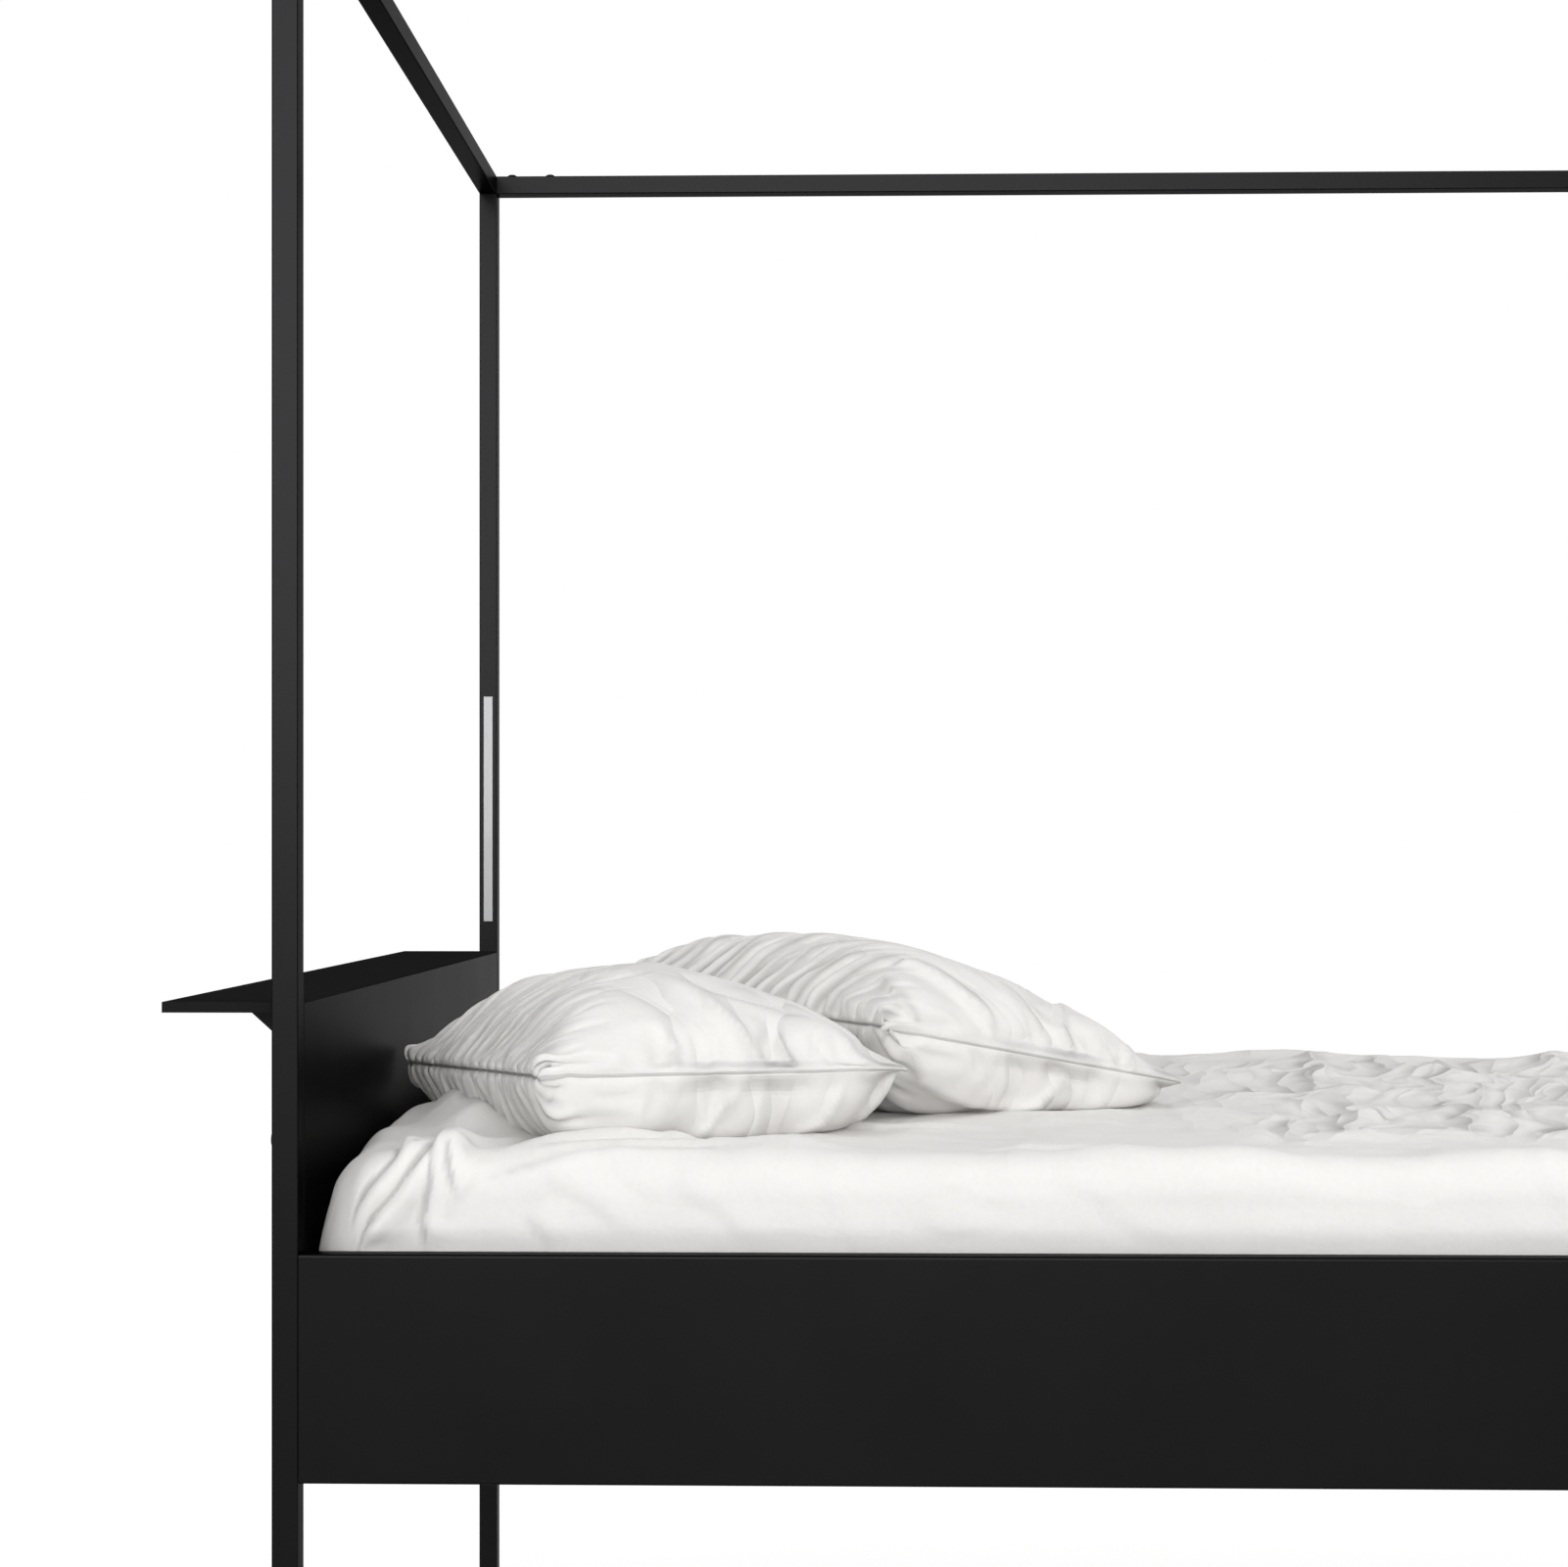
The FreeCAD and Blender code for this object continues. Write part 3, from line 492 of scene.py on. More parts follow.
def sewn_case(name):
    """Two layers of cloth joined at the rim. "flat" keeps each point's place on the cloth."""
    wide, long = PILLOW_CUT
    size = Matrix.Diagonal((wide, long, 1, 1))
    columns, rows = round(wide / PILLOW_STEP), round(long / PILLOW_STEP)
    form = bmesh.new()
    for height in (LAYER_GAP / 2, -LAYER_GAP / 2):
        bmesh.ops.create_grid(form, x_segments=columns, y_segments=rows, size=0.5,
                              matrix=Matrix.Translation((0, 0, height)) @ size)
    flat = form.verts.layers.float_vector.new("flat")
    for vert in form.verts:
        vert[flat] = (vert.co.x, vert.co.y, 1.0 if vert.co.z > 0 else -1.0)
        if vert.is_boundary:
            vert[flat].z = 0.0
    rim = [v for v in form.verts if v.is_boundary]
    bmesh.ops.remove_doubles(form, verts=rim, dist=LAYER_GAP + 0.0005)
    bmesh.ops.recalc_face_normals(form, faces=form.faces)
    print(name, "case has", len(form.verts), "points")
    return new_piece(name, form)


def pleat_count(y, seed):
    """How many pleats lie between the middle of the seam and y."""
    return (y + 0.010 * ripple(0, y * 8, seed)) / PLEAT


def ready_to_fill(piece, seed):
    """Starts the swelling and the pleats by a little, so that they form in the right places."""
    wide, long = PILLOW_CUT
    places = numbers(piece.data, "co")
    x, y = places[:, 0], places[:, 1]
    inside = np.minimum(wide / 2 - np.abs(x), long / 2 - np.abs(y))
    pleat = np.sin(math.tau * pleat_count(y, seed))
    near = ramp(wide / 2 + x, 0.0, 0.012) * (1 - ramp(wide / 2 + x, 0.03, 0.25))
    bump = 0.006 * ripple(x * 13, y * 13, seed + 3) * ramp(inside, 0, 0.05)
    swell = np.copysign(0.03 * ramp(inside, 0.0, 0.15) + bump + 0.005 * pleat * near, places[:, 2])
    places[:, 2] += np.where(inside > 1e-4, swell, 0.0)
    put_back(piece, places)


def shrinking_seam(piece):
    """The long seam shrinks fully, which gathers it, and the other three by a third of that."""
    wide, long = PILLOW_CUT
    seam = piece.vertex_groups.new(name="seam")
    for vert in piece.data.vertices:
        if vert.co.x < 0.002 - wide / 2:
            seam.add([vert.index], 1.0, "REPLACE")
        elif abs(vert.co.y) > long / 2 - 0.002 or vert.co.x > wide / 2 - 0.002:
            seam.add([vert.index], 0.35, "REPLACE")


# %% Fill it by a cloth simulation
def pillow_simulated(piece, frames=36):
    cloth = piece.modifiers.new("cloth", "CLOTH")
    rules = cloth.settings
    rules.quality = 6
    rules.mass = 0.2
    rules.tension_stiffness = rules.compression_stiffness = 18
    rules.shear_stiffness = 5
    rules.bending_stiffness = 0.12
    rules.air_damping = 2.0
    rules.use_pressure = True
    rules.use_pressure_volume = True
    rules.uniform_pressure_force = 0.0
    rules.target_volume = PILLOW_VOLUME
    rules.pressure_factor = 12.0
    rules.vertex_group_shrink = "seam"
    rules.shrink_min = -0.03
    rules.shrink_max = 0.18
    rules.effector_weights.gravity = 0
    cloth.collision_settings.use_collision = False
    cloth.point_cache.frame_end = frames
    for moment in range(1, frames + 1):
        bpy.context.scene.frame_set(moment)
    settle(piece)
    piece.vertex_groups.clear()
    bpy.context.scene.frame_set(1)


def filled_pillow(name, seed):
    piece = sewn_case(name)
    ready_to_fill(piece, seed)
    shrinking_seam(piece)
    pillow_simulated(piece)
    ironed = piece.modifiers.new("ironed", "SMOOTH")
    ironed.factor, ironed.iterations = 0.5, 3
    soft = piece.modifiers.new("soft", "SUBSURF")
    soft.levels = soft.render_levels = 1
    settle(piece)
    print(name, "filled is", np.ptp(numbers(piece.data, "co"), axis=0).round(3), "metres")
    return piece


# %% [markdown]
# The simulation's folds are rounder than pressed cotton. So each pleat is sharpened where it
# already stands, the seam is drawn in as a fine groove, and a few creases run from the seams
# into the smooth side, where the filling pushes unevenly. The same numbers are written into
# the attributes that the cotton reads, as painted shade in the valley beside each pleat, in the
# creases' grooves and in the groove of the seam.

# %% Sharpen the pleats and press the seam
def pleats(flat, seed):
    """How high the pleats stand at each point of the case, and the painted shade in the valley beside each
    pleat.
    """
    u, y = flat[:, 0] + PILLOW_CUT[0] / 2, flat[:, 1]
    count = pleat_count(y + 0.05 * u * ripple(u * 6, y * 5, seed + 9), seed) + 0.25
    reach = np.maximum(0.21 + 0.10 * ripple(0, np.floor(count) * 3.7, seed + 5), 0.10)
    reach = np.minimum(reach, 0.035 + PILLOW_CUT[1] / 2 - np.abs(y))
    phase = count - np.round(count)
    strength = (0.25 + 0.75 * ramp(u, 0.0, 0.014)) * (1 - ramp(u, 0.45 * reach, reach))
    crest = np.exp(-(phase / 0.17) ** 2) - 0.35
    split = np.abs(np.sin(math.pi * (count * 2 + 0.3 + ripple(u * 9, y * 9, seed)))) ** 0.8 - 0.62
    height = 0.0085 * crest * strength + 0.0026 * split * ramp(u, 0, 0.01) * (1 - ramp(u, 0.03, 0.10))
    return height, np.exp(-((phase - 0.27) / 0.10) ** 2) * strength


def write_value(piece, name, values):
    """Adds one number for each point to the mesh, for the cotton to read."""
    piece.data.attributes.new(name, "FLOAT", "POINT").data.foreach_set("value", values)


def sharpened(piece, seed, creases):
    flat, places, out = (numbers(piece.data, what) for what in ("flat", "co", "normal"))
    x, y, side = flat.T
    u, to_end = x + PILLOW_CUT[0] / 2, PILLOW_CUT[1] / 2 - np.abs(y)
    edge = np.minimum(PILLOW_CUT[0] / 2 - np.abs(x), to_end)
    height, valley_shade = pleats(flat, seed)
    rough = 1 - np.abs(ripple(x * 11 + 3, y * 11, seed + 1)) * 2.2
    height += 0.0022 * rough * ramp(edge, 0.0, 0.05) * ramp(u, 0.10, 0.2)
    for layer, path, width, tall in creases:
        pressed = np.where(side * layer > 0, fold(x, y, path, 1.2 * width, tall, 0.6), 0.0)
        height += 1.4 * pressed
        valley_shade += 1.2 * np.maximum(-pressed, 0) / tall
    groove = np.exp(-(edge / 0.003) ** 2)
    gathered = 1 - ramp(u, 0.0, 0.01)
    # painted shade: fold darkens the valley beside each pleat, the creases' grooves and the gathered seam's
    # groove; seam darkens a thin line along the rim
    write_value(piece, "fold", np.clip(0.65 * valley_shade + 0.55 * groove * gathered, 0, 1))
    write_value(piece, "seam", np.clip(1 - edge / PILLOW_STEP, 0, 1))
    write_value(piece, "crumpled", ramp(u, 0.06, 0.14) * ramp(edge, 0.0, 0.02))
    deep = 0.0010 + 0.0045 * gathered * ramp(to_end, 0.0, 0.03)
    blunt = 0.012 * np.exp(-(np.hypot(u, to_end) / 0.022) ** 2)
    outward = places - places.mean(axis=0)
    outward[:, 2] = 0
    outward /= np.maximum(np.linalg.norm(outward, axis=1, keepdims=True), 1e-6)
    places = places + out * (height * (1 - groove))[:, None] - outward * (groove * deep + blunt)[:, None]
    put_back(piece, places)


# creases as (upper or lower side, path on the flat cloth, width, height)
LEFT_CREASES = [
    (1, [(-0.05, -0.3), (-0.045, -0.262), (-0.05, -0.225)], 0.01, 0.005),
    (1, [(0.035, -0.3), (0.03, -0.255), (0.01, -0.205), (0.0, -0.14)], 0.012, 0.0065),
    (1, [(0.075, -0.3), (0.062, -0.262), (0.058, -0.235)], 0.009, 0.005),
    (1, [(0.16, -0.3), (0.135, -0.265), (0.12, -0.215)], 0.013, 0.006),
    (1, [(-0.02, -0.1), (0.01, -0.17), (0.07, -0.215), (0.13, -0.215)], 0.016, 0.005),
    (1, [(0.2, -0.22), (0.14, -0.19), (0.09, -0.14)], 0.012, 0.004),
    (-1, [(0.02, -0.295), (-0.01, -0.25), (-0.06, -0.2)], 0.014, 0.0045),
    (-1, [(0.13, -0.295), (0.1, -0.25), (0.04, -0.21)], 0.014, 0.0045),
    (-1, [(0.18, -0.28), (0.15, -0.235), (0.14, -0.19)], 0.01, 0.005),
]
RIGHT_CREASES = [
    (1, [(-0.14, -0.295), (-0.135, -0.25), (-0.11, -0.19)], 0.013, 0.005),
    (1, [(-0.05, -0.3), (-0.045, -0.25), (-0.06, -0.19), (-0.1, -0.14)], 0.013, 0.0065),
    (1, [(0.05, -0.3), (0.045, -0.25), (0.065, -0.2), (0.11, -0.17)], 0.012, 0.0065),
    (1, [(0.13, -0.3), (0.125, -0.265), (0.135, -0.23)], 0.009, 0.005),
    (1, [(0.2, -0.18), (0.15, -0.17), (0.1, -0.13), (0.02, -0.1)], 0.014, 0.006),
    (-1, [(-0.16, -0.29), (-0.12, -0.25), (-0.05, -0.235), (0.02, -0.24)], 0.012, 0.0055),
    (-1, [(-0.17, -0.27), (-0.13, -0.215), (-0.05, -0.195)], 0.012, 0.0055),
    (-1, [(0.05, -0.295), (0.02, -0.25), (-0.03, -0.22)], 0.014, 0.005),
]

# %% [markdown]
# A pillow on a bed is flat only where it rests. The filled case comes to its place in three
# steps. Its four seams are drawn on to straight lines, as sewn edges are. Then the case is
# skewed and stretched until three corners and the crown are where they should be. Last, a soft
# clamp eases up on to the bed what would sink into it, and leaves the rest alone.

# %% Lay the pillows down
REST = BED_TOP + 0.004           # the lowest that a pillow may reach
EASE = 0.006                     # the softness of the clamp


def corner_of(piece, x, y):
    """The number of the point at a corner of the case, where x and y are -1 or 1."""
    flat = numbers(piece.data, "flat")
    return int(np.argmin(np.hypot(flat[:, 0] - x * PILLOW_CUT[0] / 2, flat[:, 1] - y * PILLOW_CUT[1] / 2)))


def straightened(spots, flat):
    """Moves the four seams on to straight lines, and the cloth between them with them.

    Each of spots is a share of the way across, a share of the way along, and a height.
    """
    spots = spots.copy()
    window = np.hanning(13) / np.hanning(13).sum()
    for axis in (1, 0):
        place_on = flat[:, axis] / PILLOW_CUT[axis] + 0.5
        along = flat[:, 1 - axis]
        for end in (0, 1):
            seam = np.where(np.abs(place_on - end) * PILLOW_CUT[axis] < 0.0015)[0]
            seam = seam[np.argsort(along[seam])]
            weight = 0.92 * np.abs(1 - end - place_on)
            for column, wanted in ((axis, end), (2, 0)):
                off = np.convolve(np.pad(spots[seam, column] - wanted, 6, mode="edge"), window, "valid")
                spots[:, column] -= np.interp(along, along[seam], off) * weight
    return spots


def laid(piece, middle, corners, crown):
    """Brings three corners of the seam to their places, and the crown to its height above it."""
    places, flat = numbers(piece.data, "co"), numbers(piece.data, "flat")
    a, b, d = (places[corner_of(piece, *k), :2] for k in ((-1, -1), (1, -1), (-1, 1)))
    shares = (places[:, :2] - a) @ np.linalg.inv(np.array([b - a, d - a]))
    spots = straightened(np.column_stack([shares, places[:, 2]]), flat)
    shares, height = spots[:, :2], spots[:, 2]
    near, right, far = np.array([middle.x, middle.y, 0]) + np.array(corners)
    height = height * crown / height.max()
    height = np.where(height < 0, height * 1.1, height)
    corner = np.hypot(flat[:, 0] + PILLOW_CUT[0] / 2, PILLOW_CUT[1] / 2 - np.abs(flat[:, 1]))
    height *= 1 + 1.4 * np.exp(-(corner / 0.05) ** 2)
    places = near + shares[:, :1] * (right - near) + shares[:, 1:] * (far - near)
    places[:, 2] += height
    above = (places[:, 2] - REST) / EASE
    places[:, 2] = np.where(above < 20, REST + EASE * np.log1p(np.exp(np.minimum(above, 20))), places[:, 2])
    put_back(piece, places)


def make_pillow(node, seed, creases, corners, crown):
    low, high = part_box(node)
    piece = filled_pillow(node + "_case", seed)
    sharpened(piece, seed, creases)
    laid(piece, (low + high) / 2, corners, crown)
    smooth(piece)
    piece.data.materials.append(pillow_cotton)
    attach(piece, "frame")
    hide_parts(node)
    print(node, "is laid down, from", round(float(numbers(piece.data, "co")[:, 2].min()), 4), "up")


# the near, right and far corner, from the middle of the pillow's place, and over the floor
LEFT_CORNERS = [(-0.070, -0.320, 0.829), (0.286, -0.163, 0.824), (-0.279, 0.125, 0.806)]
RIGHT_CORNERS = [(-0.087, -0.335, 0.861), (0.252, -0.140, 0.786), (-0.437, 0.130, 0.879)]
make_pillow("pillow_left", 1.7, LEFT_CREASES, LEFT_CORNERS, 0.112)
make_pillow("pillow_right", 7.3, RIGHT_CREASES, RIGHT_CORNERS, 0.108)

# %% [markdown]
# ## The mattress and its fitted sheet
# The mattress is a block of foam with rounded edges. The fitted sheet is one large piece of
# cotton pulled over it. Both are made on the same net: a grid laid flat, whose outer part is
# folded down over the edge, and round the upright corners in rings. The elastic of the sheet
# draws the two upper corners at the head together, and the foam gives way to it.

# %% Fold a flat grid over the mattress
MATTRESS_RADIUS = 0.050          # of the upright corners
MATTRESS_EDGE = 0.030            # of the edge between top and side
CORNER_LEAN = 0.024              # how far the upper corners at the head lean in


def spaced(low, steps):
    """Grid lines from low on, where steps gives (up to, spacing) in order."""
    lines = [low]
    for until, gap in steps:
        start, count = lines[-1], max(round((until - lines[-1]) / gap), 1)
        lines += [start + (until - start) * k / count for k in range(1, count + 1)]
    return lines


def folded_over(u, v, half, grow, top):
    """The place on the mattress, and the way out of it, of a point on the flat cloth."""
    core = (half[0] - MATTRESS_RADIUS, half[1] - MATTRESS_RADIUS)
    over = (max(abs(u) - core[0], 0.0), max(abs(v) - core[1], 0.0))
    sign = (math.copysign(1, u), math.copysign(1, v))
    base = Vector((u if over[0] == 0 else sign[0] * core[0], v if over[1] == 0 else sign[1] * core[1], 0))
    length = math.hypot(*over)
    way = Vector((sign[0] * over[0] / length, sign[1] * over[1] / length, 0)) if length else Vector()
    run = max(over)
    level = MATTRESS_RADIUS - MATTRESS_EDGE
    edge = MATTRESS_EDGE + grow
    angle = min(max((run - level) / edge, 0.0), math.pi / 2)
    down = max(run - level - edge * math.pi / 2, 0.0)
    reach = min(run, level) + edge * math.sin(angle)
    height = top + grow - edge * (1 - math.cos(angle)) - down
    out = way * math.sin(angle) + Vector((0, 0, math.cos(angle)))
    return base + way * reach + Vector((0, 0, height)), out


def net(xs, ys):
    """A grid with its lines at xs and ys, and "flat" holding each point's place."""
    form = bmesh.new()
    bmesh.ops.create_grid(form, x_segments=len(xs) - 1, y_segments=len(ys) - 1, size=0.5)
    flat = form.verts.layers.float_vector.new("flat")
    for vert in form.verts:
        column = round((vert.co.x + 0.5) * (len(xs) - 1))
        row = round((vert.co.y + 0.5) * (len(ys) - 1))
        vert[flat] = (xs[column], ys[row], 0)
    return form, flat


def pull_in(form):
    """Leans the upper corners at the head inwards, as the sheet draws them together."""
    places = np.array([vert.co for vert in form.verts])
    x, y, z = places.T
    by = CORNER_LEAN * ramp(-x, 0.78, 0.94) * ramp(np.abs(y), 0.30, 0.56) * ramp(z, 0.645, 0.77)
    for vert, shift in zip(form.verts, by):
        vert.co.x += shift


# %% [markdown]
# The mattress is two such nets, one the mirror of the other, joined halfway up the side, with
# quilting in its cover. The sheet hides nearly all of it.

# %% Make the mattress
HALF = ((mattress_high.x - mattress_low.x) / 2, (mattress_high.y - mattress_low.y) / 2)
MIDDLE = (mattress_low + mattress_high) / 2


def make_mattress():
    turn = MATTRESS_RADIUS - MATTRESS_EDGE + MATTRESS_EDGE * math.pi / 2
    deep = turn + (mattress_high.z - mattress_low.z) / 2 - MATTRESS_EDGE
    lines = []
    for half in HALF:
        core = half - MATTRESS_RADIUS
        lines.append(spaced(-core - deep, [(-core, 0.01), (core, 0.03), (core + deep, 0.01)]))
    form, flat = net(*lines)
    for vert in form.verts:
        spot, out = folded_over(vert[flat].x, vert[flat].y, HALF, 0.0, mattress_high.z - MIDDLE.z)
        run = max(abs(vert[flat].x) - HALF[0], abs(vert[flat].y) - HALF[1])
        quilted = abs(math.sin(vert[flat].x * 26)) ** 0.3 * abs(math.sin(vert[flat].y * 26)) ** 0.3
        vert.co = spot - out * 0.002 * (1 - quilted) * (1 - float(ramp(run, -0.05, 0.0)))
    made = bmesh.ops.duplicate(form, geom=form.verts[:] + form.edges[:] + form.faces[:])
    for vert in [g for g in made["geom"] if isinstance(g, bmesh.types.BMVert)]:
        vert.co.z = -vert.co.z
    rim = [v for v in form.verts if v.is_boundary]
    bmesh.ops.remove_doubles(form, verts=rim, dist=0.002)
    bmesh.ops.translate(form, verts=form.verts, vec=MIDDLE)
    bmesh.ops.recalc_face_normals(form, faces=form.faces)
    pull_in(form)
    return new_piece("mattress_foam", form)


mattress = make_mattress()
smooth(mattress)
mattress.data.materials.append(cotton_material("mattress_cover", (0.74, 0.73, 0.71), 0.3))
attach(mattress, "frame")
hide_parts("mattress")
print("mattress has", len(mattress.data.polygons), "faces")

# %% [markdown]
# A fitted sheet is tight on top and gathers at the corners, where elastic pulls it under.
# Its creases are drawn as a height on the flat cloth before it is folded over the mattress,
# so that one crease runs on unbroken from the top and down the side. A simulation would choose
# its own folds. Here they are wanted in known places: big ones at the corner by the pillow,
# gathers at the other corners, and loose ones strewn over the top.

# %% Draw the folds of the sheet
def corner_folds():
    """The big folds at the near corner of the head, as (path, width, height, front)."""
    return [
        ([(-0.86, -0.5), (-0.898, -0.585), (-0.922, -0.608), (-0.941, -0.629), (-0.955, -0.651),
          (-0.965, -0.67), (-0.972, -0.74)], 0.012, 0.013, 0.45),
        ([(-0.905, -0.48), (-0.936, -0.553), (-0.937, -0.589), (-0.961, -0.612), (-0.976, -0.629),
          (-0.99, -0.66)], 0.012, 0.011, 0.45),
        ([(-0.88, -0.55), (-0.892, -0.585), (-0.89, -0.61), (-0.895, -0.64), (-0.89, -0.672),
          (-0.888, -0.75)], 0.01, 0.0075, 0.6),
        ([(-0.868, -0.555), (-0.879, -0.575), (-0.872, -0.595), (-0.862, -0.62)], 0.01, 0.007, 0.6),
        ([(-0.8, -0.47), (-0.86, -0.52), (-0.915, -0.575), (-0.945, -0.6)], 0.014, 0.008),
        ([(-0.62, -0.49), (-0.74, -0.52), (-0.85, -0.57)], 0.018, 0.013),
        ([(-0.48, -0.52), (-0.64, -0.54), (-0.82, -0.58)], 0.012, 0.008),
        ([(-0.6, -0.565), (-0.74, -0.58), (-0.85, -0.61)], 0.009, 0.0045),
        ([(-0.79, -0.6), (-0.74, -0.625), (-0.69, -0.665)], 0.012, 0.0028, 0.7),
        ([(-0.8, -0.63), (-0.775, -0.665), (-0.755, -0.74)], 0.012, 0.0045, 0.7),
        ([(-0.735, -0.58), (-0.7, -0.61), (-0.66, -0.625)], 0.013, 0.003, 0.8),
        ([(-0.66, -0.61), (-0.61, -0.64), (-0.57, -0.69)], 0.013, 0.0025, 0.8),
    ]


def scattered_folds(dice, count, across, along, turn, size, width, height):
    """Folds strewn over a part of the cloth, running much the same way."""
    made = []
    for _ in range(count):
        x, y = dice.uniform(*across), dice.uniform(*along)
        angle, length = dice.gauss(*turn), dice.uniform(*size)
        bend = dice.uniform(-0.25, 0.25) * length
        ahead = Vector((math.cos(angle), math.sin(angle)))
        aside = Vector((-ahead.y, ahead.x))
        start = Vector((x, y)) - ahead * length / 2
        path = [start, start + ahead * length * 0.35 + aside * bend,
                start + ahead * length * 0.7 + aside * bend * 0.8, start + ahead * length]
        made.append((path, dice.uniform(*width), dice.uniform(*height) * dice.choice((1, 1, 1, -0.5)), 0.9))
    return made


def sheet_folds():
    dice = random.Random(11)
    a, b = HALF
    made = corner_folds()
    for end, side in ((1, -1), (1, 1), (-1, 1)):
        for k in range(7):
            start = (end * (a - 0.05 - 0.13 * k / 6), side * (b - 0.07))
            middle = (end * (a - 0.02 - 0.12 * k / 6), side * (b + 0.03))
            tail = (end * (a + 0.03 - 0.15 * k / 6), side * (b + 0.14))
            made.append(([start, middle, tail], dice.uniform(0.012, 0.018), dice.uniform(0.005, 0.010), 0.9))
    # how many, where across and along, which way, how long, how wide and how high
    strewn = [
        (34, (-0.7, a), (-b - 0.06, -b + 0.04), (-0.6, 0.35), (0.06, 0.20), (0.010, 0.016), (0.0006, 0.0020)),
        (30, (-a, a), (b - 0.03, b + 0.09), (0.7, 0.5), (0.08, 0.25), (0.009, 0.018), (0.001, 0.003)),
        (16, (a - 0.02, a + 0.08), (-b, b), (1.0, 0.5), (0.08, 0.2), (0.012, 0.018), (0.001, 0.003)),
        (34, (-0.2, a - 0.05), (-0.40, b - 0.10), (1.3, 0.3), (0.08, 0.36), (0.012, 0.022), (0.004, 0.012)),
        (40, (-0.8, a - 0.05), (-b + 0.02, -0.3), (-0.4, 0.5), (0.10, 0.30), (0.007, 0.014), (0.001, 0.0035)),
        (30, (-a + 0.05, 0.0), (0.0, b - 0.05), (0.8, 0.7), (0.10, 0.30), (0.009, 0.018), (0.002, 0.006)),
    ]
    for row in strewn:
        made += scattered_folds(dice, *row)
    return made


# %% [markdown]
# Between the folds the cloth stands in many long, shallow hollows, which meet in low ridges,
# as dents in paper do. The lowest of many bowls at each point has that shape. Under the near
# pillow the sheet is pushed up into a bunch.

# %% The height of the whole sheet
def bowls(x, y, dice, count, across, along, angle, size, drop):
    """Crumpled cloth: many long shallow bowls, which meet in sharp ridges."""
    height = np.full(x.shape, 1.0)
    for _ in range(count):
        off_x, off_y = x - dice.uniform(*across), y - dice.uniform(*along)
        turn = dice.gauss(*angle)
        far = (off_x * math.cos(turn) + off_y * math.sin(turn)) / size[0]
        wide = (off_y * math.cos(turn) - off_x * math.sin(turn)) / size[1]
        tilt = dice.uniform(-0.5, 0.5) * far + dice.uniform(-0.6, 0.6) * wide
        height = np.minimum(height, drop * (far ** 2 + wide ** 2 + tilt + dice.uniform(0, 0.6)))
    return height


def sheet_height(u, v):
    """How far the sheet stands off the mattress at each point of the flat cloth."""
    height = sum(fold(u, v, *each) for each in sheet_folds())
    dice = random.Random(5)
    busy = ramp(u, -0.22, 0.15) * ramp(v, -0.46, -0.20) * (1 - 0.75 * ramp(v, 0.40, 0.55))
    top = 1 - ramp(np.maximum(np.abs(v) - HALF[1], np.abs(u) - HALF[0]), -0.03, 0.03)
    long = bowls(u, v, dice, 70, (-0.3, 1.0), (-0.5, 0.6), (1.36, 0.2), (0.22, 0.06), 0.010)
    short = bowls(u, v, dice, 420, (-1.0, 1.0), (-0.6, 0.6), (0.7, 0.8), (0.05, 0.028), 0.0016)
    height += busy * (long - 0.004)
    height += top * 0.8 * short
    height += 0.012 * np.exp(-((u - 0.074) / 0.11) ** 2 - ((v - 0.53) / 0.09) ** 2)
    height += 0.004 + 0.003 * ripple(u * 6, v * 6, 2.2) + 0.0012 * ripple(u * 19, v * 19, 4.2)
    bunch = np.exp(-((u + 0.890 + 0.30 * (v + 0.33)) / 0.042) ** 2)
    bunch *= ramp(v, -0.47, -0.38) * (1 - ramp(v, -0.28, -0.10))
    return height + 0.029 * bunch * (1 + 0.35 * ripple(u * 30, v * 14, 5.5))


# %% [markdown]
# The net is fine where the big folds are and coarse elsewhere. It is held in along the steel
# panels and at the ends, so that no fold pokes into the frame. How hollow the cloth is goes
# into the attribute "fold" as painted shade, for the dark lines at the bottom of a pressed
# fold. Solidify then gives the cloth its thickness.

# %% Make the fitted sheet
SHEET_GROW = 0.0025              # how far the sheet lies off the foam
SHEET_HEM = 0.128                # how far it reaches down the side


def painted_hollow_shade(xs, ys, column, row, height):
    """Painted shade for the hollows: how hollow the cloth is at each point, from the bend of its height along
    the net.
    """
    table = np.zeros((len(xs), len(ys)))
    table[column, row] = height
    bends = [np.gradient(np.gradient(table, line, axis=k), line, axis=k) for k, line in enumerate((xs, ys))]
    return np.clip((sum(bends)[column, row] - 8) / 200, 0, 0.45)


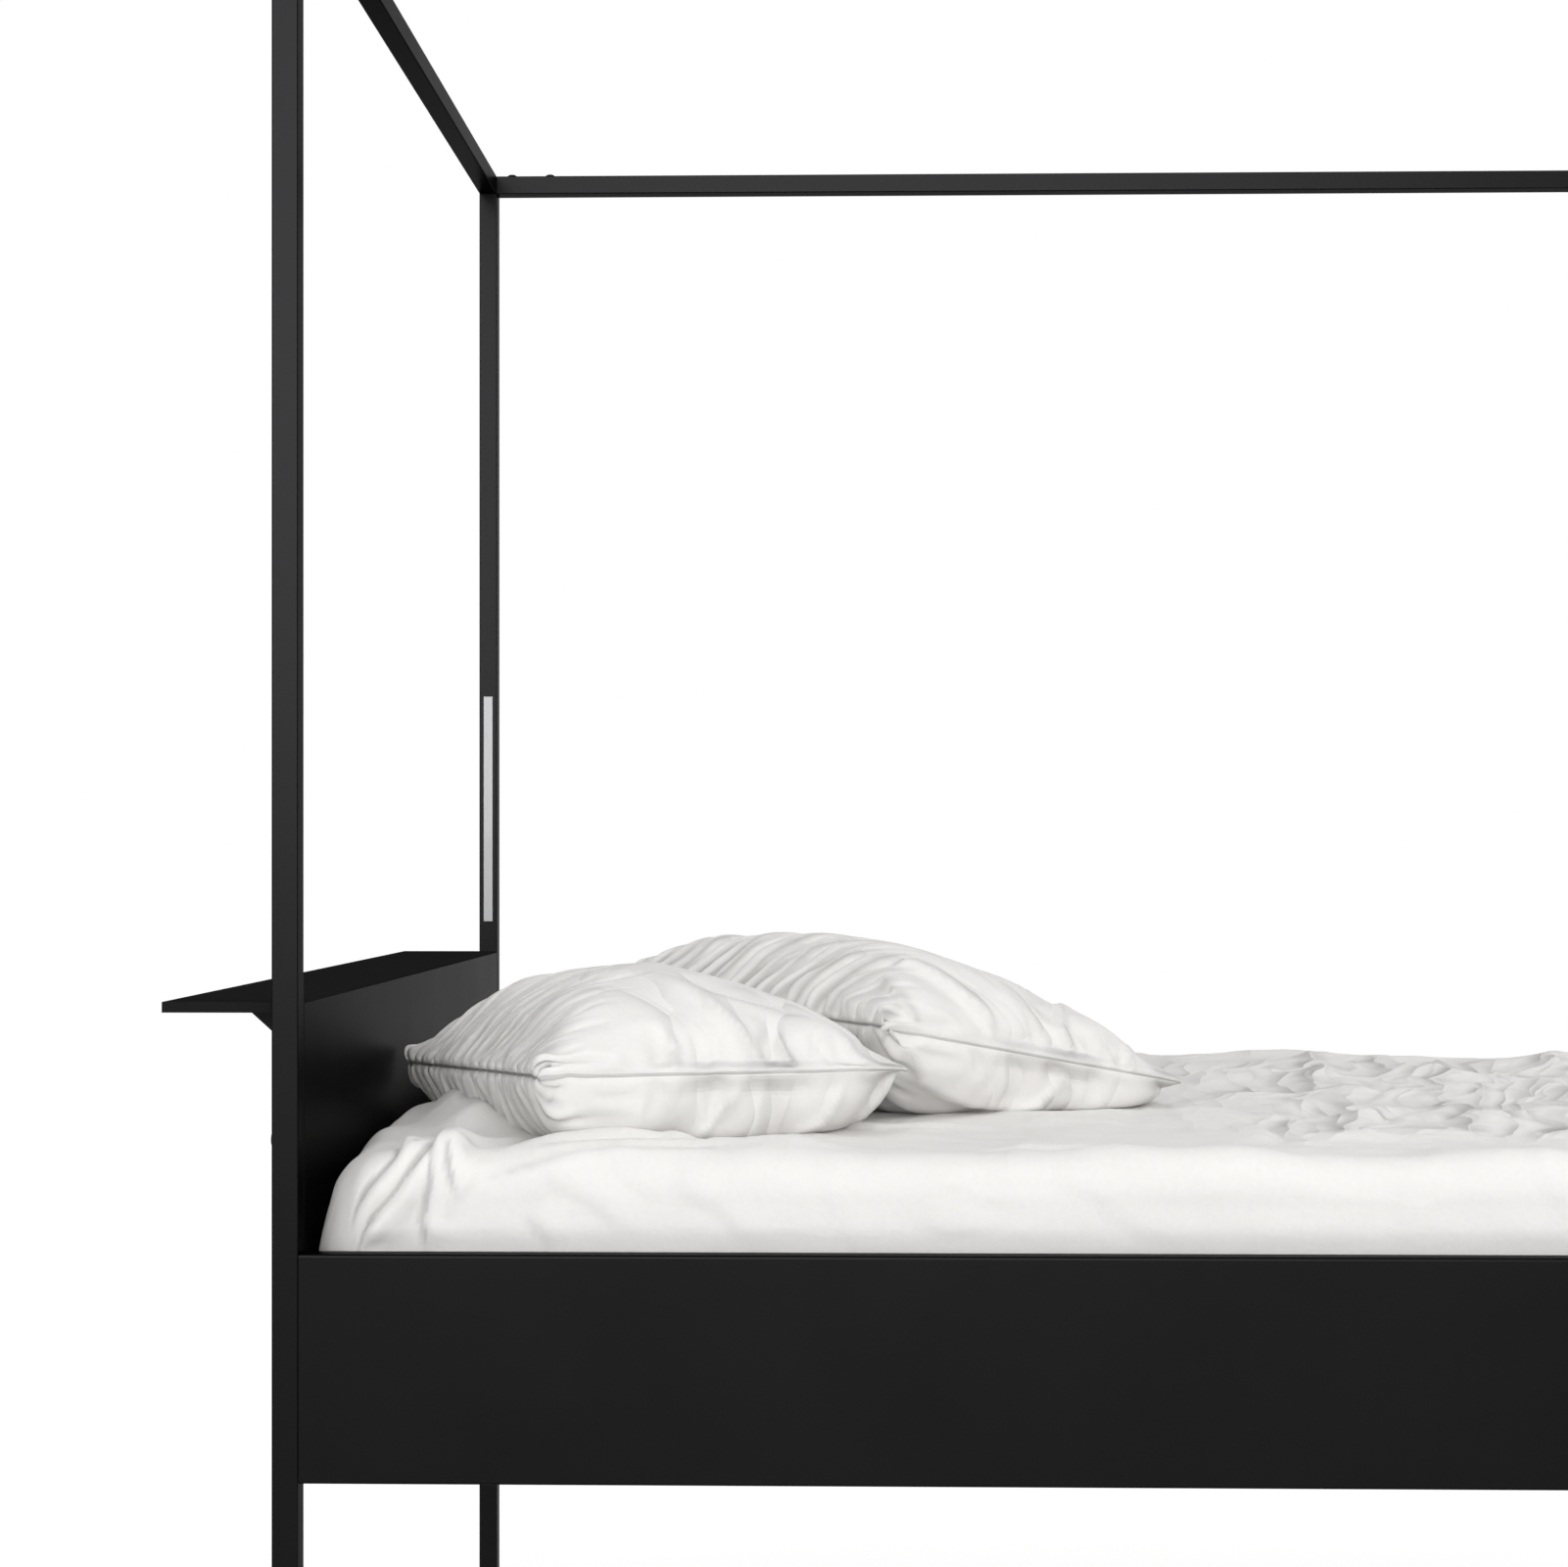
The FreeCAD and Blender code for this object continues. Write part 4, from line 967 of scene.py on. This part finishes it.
def make_sheet():
    deep = MATTRESS_RADIUS - MATTRESS_EDGE + (MATTRESS_EDGE + SHEET_GROW) * math.pi / 2 + SHEET_HEM
    core = [half - MATTRESS_RADIUS for half in HALF]
    xs = spaced(-core[0] - deep, [(-0.80, 0.0042), (-0.55, 0.0065), (0.0, 0.009), (core[0], 0.009),
                                  (core[0] + deep, 0.013)])
    ys = spaced(-core[1] - deep, [(-0.45, 0.0048), (-0.2, 0.009), (core[1], 0.018), (core[1] + deep, 0.013)])
    form, flat = net(xs, ys)
    u, v, _ = np.array([vert[flat] for vert in form.verts]).T
    side, end = np.abs(v) - HALF[1], np.abs(u) - HALF[0]
    held_in = np.maximum(ramp(side, 0.048, 0.068), ramp(end, -0.03, 0.01))
    height = sheet_height(u, v)
    height = height * (1 - held_in) + np.clip(height * 0.3, 0.0, 0.0026) * held_in
    height = np.maximum(height, -0.0012)
    column, row = np.searchsorted(xs, u - 1e-5), np.searchsorted(ys, v - 1e-5)
    # painted shade in the hollows of the folds, kept to the fine net at the head corner
    shade = painted_hollow_shade(xs, ys, column, row, height) * (1 - ramp(u, -0.85, -0.74))
    broken = 0.12 + 0.88 * ramp(u, -0.22, 0.10) * ramp(v, -0.50, -0.36)
    broken *= 1 - 0.85 * np.maximum(ramp(side, -0.02, 0.03), 0.7 * ramp(v, 0.38, 0.52))
    fold_shade_layer, crumpled = (form.verts.layers.float.new(word) for word in ("fold", "crumpled"))
    for vert, lift, dark, loose in zip(form.verts, height, shade, broken):
        spot, out = folded_over(vert[flat].x, vert[flat].y, HALF, SHEET_GROW, mattress_high.z)
        vert.co = spot + Vector((MIDDLE.x, MIDDLE.y, 0)) + out * lift
        vert[fold_shade_layer], vert[crumpled] = dark, loose
    pull_in(form)
    print("sheet net is", len(xs), "by", len(ys))
    return new_piece("fitted_sheet_cotton", form), (2 * (core[0] + deep), 2 * (core[1] + deep))


sheet, sheet_flat = make_sheet()
shell = sheet.modifiers.new("thickness", "SOLIDIFY")
shell.thickness = 0.001
shell.offset = 1.0
settle(sheet)
smooth(sheet)
sheet.data.materials.append(sheet_cotton)
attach(sheet, "frame")
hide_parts("fitted_sheet")
print("sheet was cut", [round(side, 3) for side in sheet_flat], "metres")

# %% [markdown]
# ## Floor and backdrop
# A plain white studio. The floor is a large disc that still takes the bed's shadow, and the
# world is white wherever the camera, or a reflection, looks past the bed. That white comes
# from Light Path, and not from more light, so the bed isn't washed out by it.

# %% Make the floor and the world
def seen_directly(tree):
    """1 where a ray comes from the camera, a reflection or glass, and 0 for scattered light."""
    path = place(tree, "LightPath")
    first, both = maths(tree, "MAXIMUM"), maths(tree, "MAXIMUM")
    join(tree, (path, "Is Camera Ray", first, 0), (path, "Is Glossy Ray", first, 1), (first, 0, both, 0),
         (path, "Is Transmission Ray", both, 1))
    return both


def make_floor():
    form = bmesh.new()
    bmesh.ops.create_circle(form, cap_ends=True, segments=96, radius=14.0)
    floor = new_piece("floor", form)
    material, tree, shader = new_material("floor_paint", {"Roughness": 0.9, "Specular IOR Level": 0.0,
                                                          "Base Color": (0.82, 0.82, 0.82, 1)})
    glow = place(tree, "Emission", {"Color": (1, 1, 1, 1), "Strength": 1.25})
    part = maths(tree, "MULTIPLY", {1: 0.7})
    mix = place(tree, "MixShader")
    join(tree, (seen_directly(tree), 0, part, 0), (part, 0, mix, 0), (shader, 0, mix, 1), (glow, 0, mix, 2),
         (mix, 0, tree.nodes["Material Output"], "Surface"))
    floor.data.materials.append(material)


def make_world(even_light):
    world = bpy.data.worlds.new("studio")
    bpy.context.scene.world = world
    world.use_nodes = True
    tree = world.node_tree
    even = tree.nodes["Background"]
    even.inputs["Color"].default_value = (1, 1, 1, 1)
    even.inputs["Strength"].default_value = even_light
    white = place(tree, "Background", {"Color": (1, 1, 1, 1), "Strength": 1.0})
    mix = place(tree, "MixShader")
    join(tree, (seen_directly(tree), 0, mix, 0), (even, 0, mix, 1), (white, 0, mix, 2),
         (mix, 0, tree.nodes["World Output"], 0))


make_floor()
make_world(0.5)
print("floor and world are white where they are seen")

# %% [markdown]
# ## Lamps
# White cloth and black steel want different light. The cloth is lit by big soft panels: one
# on the camera's side, one at the foot end and one overhead. The steel only shows what it
# mirrors, so a card that nothing but a reflection sees draws the bright parts of the posts.

# %% Hang the lamps
def soft_panel(name, at, towards, size, watts, mirrored=True, lit=True):
    """A rectangular studio light, which can show only in reflections, or only light things."""
    data = bpy.data.lights.new(name, "AREA")
    data.shape = "RECTANGLE"
    data.size, data.size_y = size
    data.energy = watts
    lamp = bpy.data.objects.new(name, data)
    lamp.location = at
    aim = Vector(towards) - Vector(at)
    lamp.rotation_euler = aim.to_track_quat("-Z", "Y").to_euler()
    lamp.visible_glossy, lamp.visible_diffuse = mirrored, lit
    bpy.context.scene.collection.objects.link(lamp)


soft_panel("camera_side_panel", (-0.9, -6.0, 2.1), (-0.6, 0.0, 1.4), (5.0, 3.0), 185.0, mirrored=False)
soft_panel("reflected_card", (-0.9, -6.2, 2.9), (-0.9, 0.0, 2.4), (5.0, 3.6), 365.0, lit=False)
soft_panel("foot_end_panel", (3.6, -1.6, 3.6), (0.2, 0.0, 0.8), (2.0, 2.0), 60.0, mirrored=False)
soft_panel("overhead_panel", (0.4, -0.6, 5.0), (0.4, 0.0, 0.0), (3.0, 3.0), 42.0, mirrored=False)
bpy.context.scene.view_settings.view_transform = "Standard"
print("hung", len(bpy.data.lights), "lamps")
